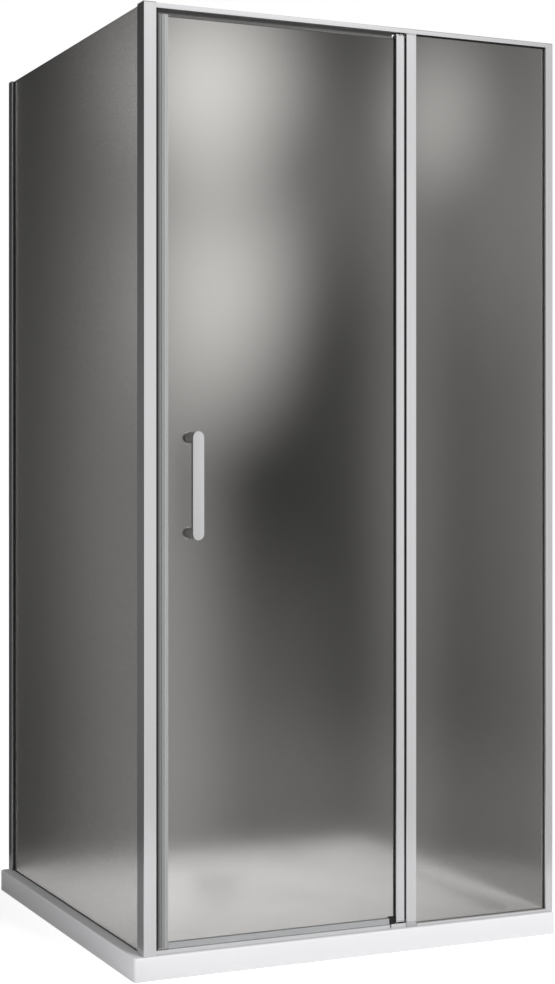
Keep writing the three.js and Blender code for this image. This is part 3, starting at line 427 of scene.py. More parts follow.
@dataclass(frozen=True)
class GradedVinyl:
    """Extruded vinyl, darkest along one line across its width, with fine ribs in its relief. On the stop seal
    the dark line is painted shade; the stripes that the ribs give the colour are painted rib highlights.
    """

    name: str
    node: str
    across: Direction
    colour: Colour
    dark_share: float
    darkest: float = 0.0
    transmission: float = 0.0
    roughness: float = 0.3
    index: float = 1.46
    blackest: float = 0.02
    rib_pitch: float = 5.5 * MM
    # Share of the rib wave in the colour: painted highlights on the rib crests, painted shade between them.
    rib_highlight_share: float = 0.0
    rib_depth: float = 0.02 * MM

    def material(self) -> bpy.types.Material:
        """Makes the material.

        Returns:
            The material.
        """
        recipe = Recipe(self.name, Transmission_Weight=self.transmission, IOR=self.index)
        low, high = (corner[self.across.value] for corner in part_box(self.node))
        middle = low + self.darkest * (high - low)
        place = recipe.part(recipe.place(), self.across)
        away = recipe.math("ABSOLUTE", recipe.math("SUBTRACT", place, middle))
        shade = recipe.span(away, 0.0, max(high - middle, middle - low), self.dark_share, 1.0)
        # The rib wave shapes the relief and also lightens the colour on each crest and darkens it between:
        # painted rib highlights.
        wave = recipe.math("SINE", recipe.math("MULTIPLY", place, math.tau / self.rib_pitch))
        share = recipe.math("MULTIPLY_ADD", wave, self.rib_highlight_share, shade)
        recipe.tint(share, toned(self.colour, self.blackest), self.colour)
        recipe.grain(self.roughness)
        recipe.relief(wave, self.rib_depth, 0.5 if self.rib_highlight_share else 0.0)
        return recipe.material


@dataclass(frozen=True)
class SanitaryAcrylic:
    """White sanitary acrylic: glossy, barely rippled, with a fine tread on the basin's floor."""

    colour: Colour = (0.88, 0.88, 0.9)
    warmer: float = 0.985
    roughness: float = 0.16
    cloud_scale: float = 3.0
    cloud_roughness: float = 0.08
    ripple_pitch: float = 14 * MM
    ripple_depth: float = 0.05 * MM
    tread_pitch: float = 4 * MM
    tread_depth: float = 0.25 * MM
    tread_top: float = 29 * MM
    tread_slope: float = 0.9
    tread_random: float = 0.15
    stud_edge: tuple[float, float] = (0.2, 0.45)

    def material(self) -> bpy.types.Material:
        """Makes the material.

        Returns:
            The material.
        """
        recipe = Recipe("white_acrylic", Coat_Weight=0.25, Coat_Roughness=0.06, IOR=1.49)
        clouds = recipe.pattern("Noise", self.cloud_scale, Detail=3.0)
        recipe.tint(clouds, toned(self.colour, self.warmer), self.colour)
        recipe.gloss(clouds, self.roughness, self.roughness + self.cloud_roughness)
        ripples = recipe.pattern("Noise", 1 / self.ripple_pitch, Detail=1.0)
        recipe.relief(ripples, self.ripple_depth, 0.3)
        cells = recipe.pattern("Voronoi", 1 / self.tread_pitch, Randomness=self.tread_random)
        studs = recipe.span(cells, *self.stud_edge, 1.0, 0.0)
        height = recipe.part(recipe.place(), Direction.Z)
        low_down = recipe.span(height, self.tread_top - MM, self.tread_top, 1.0, 0.0)
        level = recipe.math("GREATER_THAN", recipe.turned_to(Direction.Z), self.tread_slope)
        tread = recipe.math("MULTIPLY", studs, recipe.math("MULTIPLY", low_down, level))
        recipe.relief(tread, self.tread_depth, 0.5)
        return recipe.material


@dataclass(frozen=True)
class Chipboard:
    """Raw chipboard: pressed flakes of pale and darker wood."""

    pale: Colour = (0.62, 0.46, 0.29)
    dark: Colour = (0.36, 0.24, 0.14)
    flake: float = 5 * MM
    flake_stretch: tuple[float, float, float] = (1, 1, 3)
    flake_depth: float = 0.2 * MM
    contrast: float = 1.3

    def material(self) -> bpy.types.Material:
        """Makes the material.

        Returns:
            The material.
        """
        recipe = Recipe("chipboard", Roughness=0.85)
        cells = recipe.pattern("Voronoi", 1 / self.flake, self.flake_stretch)
        shade = recipe.math("MULTIPLY", cells, self.contrast)
        recipe.tint(shade, self.pale, self.dark)
        recipe.relief(shade, self.flake_depth, 0.5)
        return recipe.material


@cache
def material_of(finish: Finish) -> bpy.types.Material:
    """Makes a finish's material, once for all the pieces that wear it."""
    return finish.material()


def put_on(piece: Piece, finish: Finish) -> None:
    """Puts a finish on a piece, in place of what it has.

    Args:
        piece: The piece.
        finish: The finish.
    """
    if not piece.data.materials:
        piece.data.materials.append(None)
    for slot in piece.material_slots:
        slot.link = "OBJECT"
        slot.material = material_of(finish)


UPRIGHT_METAL = BrightAluminium(Direction.Z)
LEVEL_METAL = BrightAluminium(Direction.X)
CHROME = PolishedMetal("polished_chrome")
BAR_CHROME = PolishedMetal("handle_chrome", (0.72, 0.72, 0.73), 0.1, 0.05)
POST_CHROME = PolishedMetal("post_chrome", (0.86, 0.86, 0.87), 0.34, 0.06)
SATIN_CHROME = PolishedMetal("satin_chrome", (0.9, 0.9, 0.91), 0.26, 0.08, 0.4)
STEEL = PolishedMetal("turned_steel", (0.62, 0.62, 0.63), 0.2, 0.1)
SIDE_SATIN = SatinGlass(Direction.X)
FRONT_SATIN = SatinGlass(Direction.Y)
CLEAR_VINYL = Moulded("clear_vinyl", (0.62, 0.63, 0.64), 0.3, transmission=0.35)
# The magnet seal's colour stripes along its ribs are painted rib highlights.
PAINTED_RIB_SEAL_VINYL = GradedVinyl(
    "seal_vinyl_painted_rib_highlights", "magnet_seal", Direction.X, (0.63, 0.635, 0.64), 0.32, transmission=0.35, rib_highlight_share=0.1,
)
GREY_VINYL = Moulded("grey_vinyl", (0.11, 0.11, 0.108), 0.5)
PALE_VINYL = Moulded("pale_vinyl", (0.6, 0.6, 0.59), 0.4)
# The stop seal is painted darkest across its middle and lighter above and below: painted shade standing in
# for the gap above the door glass.
SHADED_STOP_VINYL = GradedVinyl(
    "stop_vinyl_painted_shade", "door_stop_seal", Direction.Z, (0.3, 0.3, 0.296), 0.2, 0.5, roughness=0.5,
)
BLACK_RUBBER = Moulded("black_rubber", (0.012, 0.012, 0.012), 0.6)
GREY_PLASTIC = Moulded("grey_plastic", (0.46, 0.46, 0.47), 0.42)
WHITE_PLASTIC = Moulded("white_plastic", (0.8, 0.8, 0.8), 0.45)
FERRITE = Moulded("bonded_ferrite", (0.035, 0.031, 0.029), 0.55)
ACRYLIC = SanitaryAcrylic()
BOARD = Chipboard()

CAD_FINISHES: dict[Finish, tuple[str, ...]] = {
    BOARD: ("base_board",),
    UPRIGHT_METAL: (
        "corner_post", "front_wall_profile", "front_wall_channel", "side_wall_profile",
        "side_wall_channel", "mullion", "hinge_stile",
    ),
    LEVEL_METAL: ("header_rail", "threshold_rail", "fixed_sill"),
    STEEL: ("header_post_bracket", "lower_pivot_pin", "upper_pivot_pin"),
    SIDE_SATIN: ("side_glass",),
    FRONT_SATIN: ("fixed_glass", "door_glass"),
    CLEAR_VINYL: (
        "drip_seal", "handle_washer_upper", "handle_washer_lower", "fixed_mullion_gasket",
        "fixed_wall_gasket",
    ),
    PALE_VINYL: ("fixed_bottom_gasket",),
    GREY_VINYL: ("stile_gasket", "side_wall_gasket"),
    PAINTED_RIB_SEAL_VINYL: ("magnet_seal",),
    SHADED_STOP_VINYL: ("door_stop_seal",),
    BLACK_RUBBER: (
        "waste_gasket", "strike_strip", "side_bottom_seal", "side_post_gasket", "hinge_gap_seal",
        "fixed_top_gasket", "lower_pivot_bush", "upper_pivot_bush", "door_corner_clip",
    ),
    FERRITE: ("strike_magnet", "magnet_strip"),
}


# The bench


class Workpiece:
    """A piece on the bench, shaped with edit-mode tools and finished with applied modifiers."""

    def __init__(self, name: str) -> None:
        """Takes up the object that was added last.

        Args:
            name: The piece's name.
        """
        self.piece: Piece = bpy.context.object
        self.piece.name = name
        self.piece.data.name = name

    def select(self) -> None:
        """Selects this piece alone and makes it the active one."""
        bpy.ops.object.select_all(action="DESELECT")
        self.piece.select_set(True)
        bpy.context.view_layer.objects.active = self.piece

    def edit(self) -> None:
        """Opens the mesh for editing, with all of it selected."""
        self.select()
        bpy.ops.object.mode_set(mode="EDIT")
        bpy.ops.mesh.select_mode(type="EDGE")
        bpy.ops.mesh.select_all(action="SELECT")

    def close(self) -> None:
        """Ends the editing."""
        bpy.ops.object.mode_set(mode="OBJECT")

    def pick_edges(self, wanted: Callable[[Vector, Vector], bool]) -> None:
        """Selects edges by the places of their ends.

        Args:
            wanted: Says whether an edge with these two ends is wanted.
        """
        bpy.ops.mesh.select_all(action="DESELECT")
        mesh = bmesh.from_edit_mesh(self.piece.data)
        for edge in mesh.edges:
            if wanted(*(vertex.co for vertex in edge.verts)):
                edge.select_set(True)
        bmesh.update_edit_mesh(self.piece.data)

    def bevel(self, width: float, segments: int) -> None:
        """Rounds the selected edges, so far from each and in so many steps."""
        bpy.ops.mesh.bevel(offset=width, segments=segments, affect="EDGES", clamp_overlap=False)

    def draw_out(self, rise: float, growth: float, centre: Sequence[float]) -> None:
        """Extrudes the selected loop upwards and then widens or narrows it about a centre."""
        bpy.ops.mesh.extrude_region_move(TRANSFORM_OT_translate={"value": (0, 0, rise)})
        bpy.ops.transform.resize(value=(growth, growth, 1), center_override=centre)

    def tidy(self) -> None:
        """Merges what coincides, closes open ends and turns every face outwards."""
        bpy.ops.mesh.select_all(action="SELECT")
        bpy.ops.mesh.remove_doubles(threshold=0.01 * MM)
        bpy.ops.mesh.fill_holes(sides=0)
        bpy.ops.mesh.select_all(action="SELECT")
        bpy.ops.mesh.normals_make_consistent(inside=False)

    def take_in(self, others: Iterable[Piece]) -> None:
        """Joins other objects to the piece.

        Args:
            others: The objects.
        """
        self.select()
        for other in others:
            other.select_set(True)
        bpy.ops.object.join()

    def modify(self, kind: str, **settings: object) -> None:
        """Adds a modifier and applies it.

        Args:
            kind: The modifier's type.
            **settings: The modifier's settings.
        """
        modifier = self.piece.modifiers.new(kind.lower(), kind)
        for name, value in settings.items():
            setattr(modifier, name, value)
        bpy.context.view_layer.objects.active = self.piece
        bpy.ops.object.modifier_apply(modifier=modifier.name)

    def soften(self, width: float) -> None:
        """Rounds every sharp edge a little, so far from each."""
        self.modify(
            "BEVEL", width=width, segments=2, limit_method="ANGLE", angle_limit=math.radians(32),
            use_clamp_overlap=True,
        )

    def set_down(self, place: Sequence[float], facing: Direction = Direction.Z) -> None:
        """Turns the piece's own Z axis to a direction and moves its origin's point to a place.

        Args:
            place: Where the point goes.
            facing: The direction that the Z axis is turned to.
        """
        turns = {
            Direction.X: (0, math.pi / 2, 0), Direction.Y: (-math.pi / 2, 0, 0), Direction.Z: (0, 0, 0),
        }
        self.select()
        self.piece.rotation_euler = turns[facing]
        self.piece.location = place
        bpy.ops.object.transform_apply(location=True, rotation=True, scale=True)

    def shade(self, angle: float) -> None:
        """Shades the bends under an angle in degrees smooth, and keeps the sharper edges."""
        self.select()
        bpy.ops.object.shade_smooth_by_angle(angle=math.radians(angle))


def turned(name: str, profile: Profile, steps: int) -> Workpiece:
    """Turns a profile about the Z axis.

    Args:
        name: The piece's name.
        profile: Points of radius and height, the last the same as the first for a ring.
        steps: The number of facets round the axis.

    Returns:
        The piece, with its sharp edges as they are.
    """
    (radius, height), *others = profile
    bpy.ops.object.select_all(action="DESELECT")
    bpy.ops.mesh.primitive_circle_add(vertices=steps, radius=radius, location=(0, 0, 0))
    work = Workpiece(name)
    work.edit()
    bpy.ops.transform.translate(value=(0, 0, height))
    for next_radius, next_height in others:
        work.draw_out(next_height - height, next_radius / radius, (0, 0, next_height))
        radius, height = next_radius, next_height
    work.tidy()
    work.close()
    return work


def dome(radius: float, foot: float, rise: float, steps: int) -> Profile:
    """Lists the radius and height of each point of a dome's profile, short of its top."""
    arcs = [math.radians(90 * step / steps) for step in range(steps)]
    return [(radius * math.cos(arc), foot + rise * math.sin(arc)) for arc in arcs]


def block(name: str, low: Vector, high: Vector) -> Workpiece:
    """Sets a block between two corners.

    Args:
        name: The piece's name.
        low: The low corner.
        high: The high corner.

    Returns:
        The block.
    """
    bpy.ops.object.select_all(action="DESELECT")
    bpy.ops.mesh.primitive_cube_add(size=1, location=(0, 0, 0))
    work = Workpiece(name)
    work.piece.scale = high - low
    work.set_down((low + high) / 2)
    return work


def copied(source: Piece, name: str) -> Workpiece:
    """Copies an object, with a mesh of its own.

    Args:
        source: The object.
        name: The copy's name.

    Returns:
        The copy.
    """
    copy = bpy.data.objects.new(name, source.data.copy())
    bpy.context.scene.collection.objects.link(copy)
    bpy.context.view_layer.objects.active = copy
    return Workpiece(name)


def corners(node: str) -> tuple[Vector, Vector]:
    """Gives the low and the high corner of a node's box."""
    low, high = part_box(node)
    return Vector(low), Vector(high)


# Sub-assemblies


@dataclass
class Assembly:
    """Pieces that are modelled together, set aside and then dressed."""

    made: list[tuple[Workpiece, Finish, str, str, tuple[str, ...]]] = field(default_factory=list)

    def keep(
        self, work: Workpiece, finish: Finish, body: str, slot: str, *replaced: str, angle: float = 35,
    ) -> None:
        """Shades a modelled piece and sets it aside.

        Args:
            work: The piece.
            finish: Its finish.
            body: The body that carries it.
            slot: Its material slot; not used.
            *replaced: The nodes that it replaces.
            angle: The least angle of an edge that stays sharp, in degrees.
        """
        work.shade(angle)
        self.made.append((work, finish, body, slot, replaced))

    def dress(self) -> None:
        """Gives the pieces their finish and their place in the model."""
        for work, finish, body, slot, replaced in self.made:
            put_on(work.piece, finish)
            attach(work.piece, body)
            if replaced:
                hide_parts(*replaced)
            log.info("built and dressed %s", work.piece.name)


@dataclass(frozen=True)
class Hoop:
    """A level loop round the tray: a rectangle with round corners, or a circle round the drain."""

    half_x: float
    half_y: float
    corner: float
    height: float
    y: float = 0.0

    def draw(self, corner_steps: int, side_cuts: int) -> Piece:
        """Draws the loop, always with the same number of points.

        Args:
            corner_steps: The steps round each corner.
            side_cuts: The points along each straight side.

        Returns:
            The loop.
        """
        points = 4 * (corner_steps + 1 + side_cuts)
        place = (0, self.y, self.height)
        bpy.ops.object.select_all(action="DESELECT")
        if self.corner >= self.half_x:
            bpy.ops.mesh.primitive_circle_add(vertices=points, radius=self.half_x, location=place)
            work = Workpiece("loop")
            work.set_down(place)
            return work.piece
        bpy.ops.mesh.primitive_plane_add(size=2, location=place)
        work = Workpiece("loop")
        work.piece.scale = (self.half_x, self.half_y, 1)
        work.set_down(place)
        work.edit()
        bpy.ops.mesh.bevel(offset=self.corner, segments=corner_steps, affect="VERTICES")
        straight = 0.5 * self.half_y
        work.pick_edges(lambda first, second: (first - second).length > straight)
        bpy.ops.mesh.subdivide(number_cuts=side_cuts)
        bpy.ops.mesh.select_all(action="SELECT")
        bpy.ops.mesh.delete(type="ONLY_FACE")
        work.close()
        return work.piece


@dataclass
class Tray(Assembly):
    """The tray: one acrylic shell over rim, basin and drain seat, open underneath."""

    rim_width: float = 62 * MM
    outer_corner: float = 6 * MM
    mouth_corner: float = 60 * MM
    draft: float = 13 * MM
    basin_depth: float = 23 * MM
    fall: float = 4 * MM
    shell: float = 5 * MM
    drain_y: float = 275 * MM
    seat_radius: float = 59 * MM
    hole_radius: float = 45 * MM
    seat_depth: float = 3 * MM
    edge_round: float = 4 * MM
    basin_round: float = 5 * MM
    round_steps: int = 6
    seat_round: float = 0.6 * MM
    corner_steps: int = 10
    side_cuts: int = 8

    def inset(self, distance: float, corner: float, height: float) -> Hoop:
        """Gives a loop at a height and a distance inside the tray's outline."""
        _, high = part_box("shower_tray")
        return Hoop(high[0] - distance, high[1] - distance, corner, height)

    def hoops(self) -> list[Hoop]:
        """Lists the loops from the outer foot over rim, basin and seat, and back underneath.

        Returns:
            The loops, in order.
        """
        _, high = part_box("shower_tray")
        rim = high[2]
        floor_edge = rim - self.basin_depth
        floor_drain = floor_edge - self.fall
        seat = floor_drain - self.seat_depth
        under = seat - self.seat_depth
        foot = self.rim_width + self.draft
        foot_corner = self.mouth_corner - self.draft
        lip = self.rim_width - self.shell
        hole = self.hole_radius
        wide = self.seat_radius
        inner = self.outer_corner - self.shell
        return [
            self.inset(0, self.outer_corner, 0),
            self.inset(0, self.outer_corner, rim),
            self.inset(self.rim_width, self.mouth_corner, rim),
            self.inset(foot, foot_corner, floor_edge),
            Hoop(wide, wide, wide, floor_drain, self.drain_y),
            Hoop(wide, wide, wide, seat, self.drain_y),
            Hoop(hole, hole, hole, seat, self.drain_y),
            Hoop(hole, hole, hole, under, self.drain_y),
            self.inset(foot - self.shell, foot_corner + self.shell, under),
            self.inset(lip, self.mouth_corner + self.shell, rim - self.shell),
            self.inset(self.shell, inner, rim - self.shell),
            self.inset(self.shell, inner, 0),
        ]

    def band(self, first: Hoop, second: Hoop) -> Piece:
        """Bridges two loops.

        Args:
            first: One loop.
            second: The next loop.

        Returns:
            The band between them.
        """
        loops = [hoop.draw(self.corner_steps, self.side_cuts) for hoop in (first, second)]
        work = Workpiece("band")
        work.take_in(loops)
        work.edit()
        bpy.ops.mesh.bridge_edge_loops()
        work.close()
        return work.piece

    def build(self) -> None:
        """Models the shell."""
        hoops = self.hoops()
        mouth = hoops[2]
        rim, floor_edge = mouth.height, hoops[3].height
        bands = [self.band(first, second) for first, second in zip(hoops, hoops[1:] + hoops[:1])]
        work = Workpiece("tray_shell")
        work.take_in(bands)
        work.edit()
        work.tidy()
        near = 0.1 * MM
        margin = self.mouth_corner / 2

        def outside(end: Vector) -> bool:
            """Says whether a point lies on the tray's outline."""
            return abs(end.x) > mouth.half_x + margin or abs(end.y) > mouth.half_y + margin

        for height, beyond, width in (
            (rim, True, self.edge_round),
            (rim, False, self.basin_round),
            (floor_edge, False, self.basin_round),
        ):
            work.pick_edges(
                lambda *ends: all(abs(end.z - height) < near and outside(end) == beyond for end in ends)
            )
            work.bevel(width, self.round_steps)
        work.close()
        work.soften(self.seat_round)
        self.keep(work, ACRYLIC, "frame", "white_acrylic", "shower_tray")


@dataclass
class Waste(Assembly):
    """The waste: a chrome flange on the tray's seat, and a crowned cover over it."""

    sleeve_inner: float = 39 * MM
    sleeve_outer: float = 42 * MM
    flange_thickness: float = 2 * MM
    flange_chamfer: float = 0.8 * MM
    cover_edge: float = 1.6 * MM
    cover_crown: float = 2.2 * MM
    crown_steps: int = 8
    peg_radius: float = 4 * MM
    foot_radius: float = 2.5 * MM
    foot_inset: float = 6 * MM
    foot_gap: float = 0.3 * MM
    foot_facets: int = 24
    feet: int = 3
    facets: int = 96
    soft: float = 0.3 * MM

    def flange(self) -> None:
        """Models the flange with its sleeve."""
        low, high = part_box("waste_flange")
        outer = (high[0] - low[0]) / 2
        top, step = high[2], self.flange_chamfer
        seat = top - self.flange_thickness
        profile = (
            (self.sleeve_inner, low[2]), (self.sleeve_outer, low[2]), (self.sleeve_outer, seat),
            (outer, seat), (outer, top - step), (outer - step, top), (self.sleeve_inner, top),
            (self.sleeve_inner, low[2]),
        )
        work = turned("waste_flange_turned", profile, self.facets)
        work.soften(self.soft)
        work.set_down((0, (low[1] + high[1]) / 2, 0))
        self.keep(work, SATIN_CHROME, "frame", "polished_chrome", "waste_flange")

    def cover(self) -> None:
        """Models the cover: crown, peg and feet."""
        low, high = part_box("drain_cover")
        _, flange_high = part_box("waste_flange")
        outer = (high[0] - low[0]) / 2
        rim = high[2] - self.cover_crown
        under = rim - self.cover_edge
        crown = dome(outer, rim, self.cover_crown, self.crown_steps)
        profile = ((self.peg_radius, low[2]), (self.peg_radius, under), (outer, under), *crown)
        work = turned("drain_cover_turned", profile, self.facets)
        work.soften(self.soft)
        bottom, top = flange_high[2] + self.foot_gap, under + self.foot_gap
        pattern = turned("foot", ((self.foot_radius, bottom), (self.foot_radius, top)), self.foot_facets)
        pattern.soften(self.soft)
        reach = outer - self.foot_inset
        feet = []
        for index in range(self.feet):
            bearing = math.tau * index / self.feet
            foot = copied(pattern.piece, f"foot_{index + 1}")
            foot.set_down((reach * math.cos(bearing), reach * math.sin(bearing), 0))
            feet.append(foot.piece)
        bpy.data.objects.remove(pattern.piece)
        work.take_in(feet)
        work.set_down((0, (low[1] + high[1]) / 2, 0))
        self.keep(work, SATIN_CHROME, "drain_insert", "polished_chrome", "drain_cover")

    def build(self) -> None:
        """Models the chrome pieces."""
        self.flange()
        self.cover()


class Fixing(Enum):
    """A turned piece at each end of the handle."""

    POST = "post"
    CAP = "cap"
    SCREW = "screw"


@dataclass
class Handle(Assembly):
    """The pull handle: a flat bar on two turned posts, screwed through the glass."""

    edge_round: float = 1.2 * MM
    edge_steps: int = 5
    end_flat: float = 0.01 * MM
    end_steps: int = 28
    post_chamfer: float = 0.8 * MM
    head_height: float = 3.5 * MM
    head_radius: float = 5 * MM
    screw_radius: float = 3 * MM
    screw_reach: float = 18 * MM
    socket_radius: float = 2.3 * MM
    socket_depth: float = 2 * MM
    bore_wall: float = 0.3 * MM
    soft: float = 0.25 * MM
    post_facets: int = 72
    screw_facets: int = 48

    def bar(self) -> None:
        """Models the bar: a plate with round ends and a rounded rim."""
        low, high = corners("handle_bar")
        size = high - low
        work = block("handle_bar_shaped", low, high)
        work.edit()
        work.pick_edges(lambda first, second: abs(first.y - second.y) > size.y / 2)
        work.bevel(size.x / 2 - self.end_flat, self.end_steps)
        work.tidy()
        work.pick_edges(lambda first, second: abs(first.y - second.y) < size.y / 2)
        work.bevel(self.edge_round, self.edge_steps)
        work.close()
        self.keep(work, BAR_CHROME, "door", "polished_chrome", "handle_bar", angle=30)

    def profile(self, kind: Fixing, radius: float, length: float) -> Profile:
        """Draws a fixing's profile, from the end nearer the bar.

        Args:
            kind: The fixing.
            radius: Its radius.
            length: Its length.

        Returns:
            The profile.
        """
        step, bore = self.post_chamfer, self.screw_radius + self.bore_wall
        if kind is Fixing.POST:
            return (
                (radius - step, 0), (radius, step), (radius, length - step), (radius - step, length),
                (bore, length), (bore, length - self.screw_reach - self.bore_wall),
            )
        if kind is Fixing.CAP:
            recess = self.head_radius + self.bore_wall
            seat = length - self.head_height - self.bore_wall
            return (
                (bore, 0), (radius, 0), (radius, length - step), (radius - step, length),
                (recess, length), (recess, seat), (bore, seat), (bore, 0),
            )
        neck = length - self.head_height + self.bore_wall
        return (
            (self.screw_radius, 0), (self.screw_radius, neck), (self.head_radius, neck),
            (self.head_radius, length),
        )

    def socket(self, work: Workpiece, length: float) -> None:
        """Cuts a six-sided socket into the head of a screw of this length."""
        bottom, top = length - self.socket_depth, length + self.socket_depth
        tool = turned("cutting_tool", ((self.socket_radius, bottom), (self.socket_radius, top)), 6)
        work.modify("BOOLEAN", operation="DIFFERENCE", object=tool.piece)
        bpy.data.objects.remove(tool.piece)

    def fixing(self, kind: Fixing) -> Piece:
        """Models a fixing about the Z axis.

        Args:
            kind: The fixing.

        Returns:
            The fixing.
        """
        low, high = corners(f"handle_{kind.value}_upper")
        length = high.y - low.y
        facets = self.screw_facets if kind is Fixing.SCREW else self.post_facets
        work = turned(f"handle_{kind.value}", self.profile(kind, (high.x - low.x) / 2, length), facets)
        work.soften(self.soft)
        if kind is Fixing.SCREW:
            self.socket(work, length)
        return work.piece

    def build(self) -> None:
        """Models the bar and each fixing, and sets a copy of each fixing down at both ends."""
        self.bar()
        fixings = {kind: self.fixing(kind) for kind in Fixing}
        for end in ("upper", "lower"):
            for kind, finish, slot in (
                (Fixing.POST, POST_CHROME, "polished_chrome"),
                (Fixing.CAP, CHROME, "polished_chrome"),
                (Fixing.SCREW, STEEL, "steel"),
            ):
                node = f"handle_{kind.value}_{end}"
                low, high = corners(node)
                centre = (low + high) / 2
                work = copied(fixings[kind], f"handle_{kind.value}_turned_{end}")
                work.set_down((centre.x, low.y, centre.z), Direction.Y)
                self.keep(work, finish, "door", slot, node)
        for fixing in fixings.values():
            bpy.data.objects.remove(fixing)


@dataclass
class Mouldings(Assembly):
    """The small moulded and machined pieces, with the soft edges of their tools."""

    soft: float = 0.3 * MM
    near: float = 0.005 * MM
    flat: float = math.radians(0.5)
    pieces: tuple[tuple[str, Finish, str, tuple[str, ...]], ...] = (
        (
            "frame", GREY_PLASTIC, "grey_plastic",
            ("corner_post_cap", "front_profile_cap", "side_profile_cap", "mullion_foot", "mullion_cap"),
        ),
        ("frame", LEVEL_METAL, "bright_aluminium", ("lower_pivot_block",)),
        ("frame", GREY_PLASTIC, "grey_plastic", ("upper_pivot_block",)),
        ("door", LEVEL_METAL, "bright_aluminium", ("stile_bottom_cap", "stile_top_cap")),
        ("frame", WHITE_PLASTIC, "white_plastic", ("waste_clamp_ring",)),
        ("drain_insert", GREY_PLASTIC, "grey_plastic", ("hair_basket",)),
    )

    def build(self) -> None:
        """Models each piece on its node's own form: facets joined into faces, sharp edges softened."""
        for body, finish, slot, nodes in self.pieces:
            for node in nodes:
                work = copied(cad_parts[node], f"{node}_finished")
                work.edit()
                bpy.ops.mesh.remove_doubles(threshold=self.near)
                bpy.ops.mesh.dissolve_limited(angle_limit=self.flat)
                work.close()
                work.soften(self.soft)
                self.keep(work, finish, body, slot, node)


@dataclass
class StopPlug(Assembly):
    """The plug that closes the end of the door stop seal, beside the pivot and above the stile."""

    lap: float = 0.3 * MM
    clearance: float = 1.2 * MM
    from_pin: float = 2.5 * MM
    lip: float = 2.5 * MM
    soft: float = 0.5 * MM
    soft_steps: int = 4

    def build(self) -> None:
        """Models the plug: a short lip under the pivot block, with its free corners rounded."""
        _, seal = corners("door_stop_seal")
        block_low, _ = corners("upper_pivot_block")
        pin_low, _ = corners("upper_pivot_pin")
        _, cap_high = corners("stile_top_cap")
        low = Vector((seal.x - self.lap, seal.y - self.lip, cap_high.z + self.clearance))
        high = Vector((pin_low.x - self.from_pin, seal.y, block_low.z + self.lap))
        work = block("stop_seal_plug", low, high)
        work.edit()
        work.pick_edges(lambda first, second: first.x == second.x > low.x + self.lap)
        work.bevel(self.soft, self.soft_steps)
        work.close()
        self.keep(work, BLACK_RUBBER, "frame", "black_rubber")


@dataclass
class ScrewCovers(Assembly):
    """Domed covers over the screws that pin each wall profile to its channel, seen from inside."""

    radius: float = 6 * MM
    rise: float = 2.4 * MM
    edge: float = 0.6 * MM
    from_ends: float = 150 * MM
    dome_steps: int = 6
    facets: int = 40

    def build(self) -> None:
        """Models three covers on each wall profile's inner face."""
        front_low, front_high = corners("front_wall_profile")
        side_low, side_high = corners("side_wall_profile")
        lowest, highest = front_low.z + self.from_ends, front_high.z - self.from_ends
        across = (front_low.x + front_high.x) / 2
        along = (side_low.y + side_high.y) / 2
        crown = dome(self.radius, self.edge, self.rise - self.edge, self.dome_steps)
        pattern = turned("screw_cover", ((self.radius, 0), *crown), self.facets)
        for index, height in enumerate((lowest, (lowest + highest) / 2, highest)):
            for side, place, facing in (
                ("front", (across, front_high.y, height), Direction.Y),
                ("side", (side_high.x, along, height), Direction.X),
            ):
                work = copied(pattern.piece, f"screw_cover_{side}_{index + 1}")
                work.set_down(place, facing)
                self.keep(work, GREY_PLASTIC, "frame", "grey_plastic")
        bpy.data.objects.remove(pattern.piece)


# Studio


@dataclass(frozen=True)
class Glow:
    """A soft lighter or darker field on the surround, about a point on it."""

    bearing: float
    height: float
    reach: float
    rise: float
    level: float


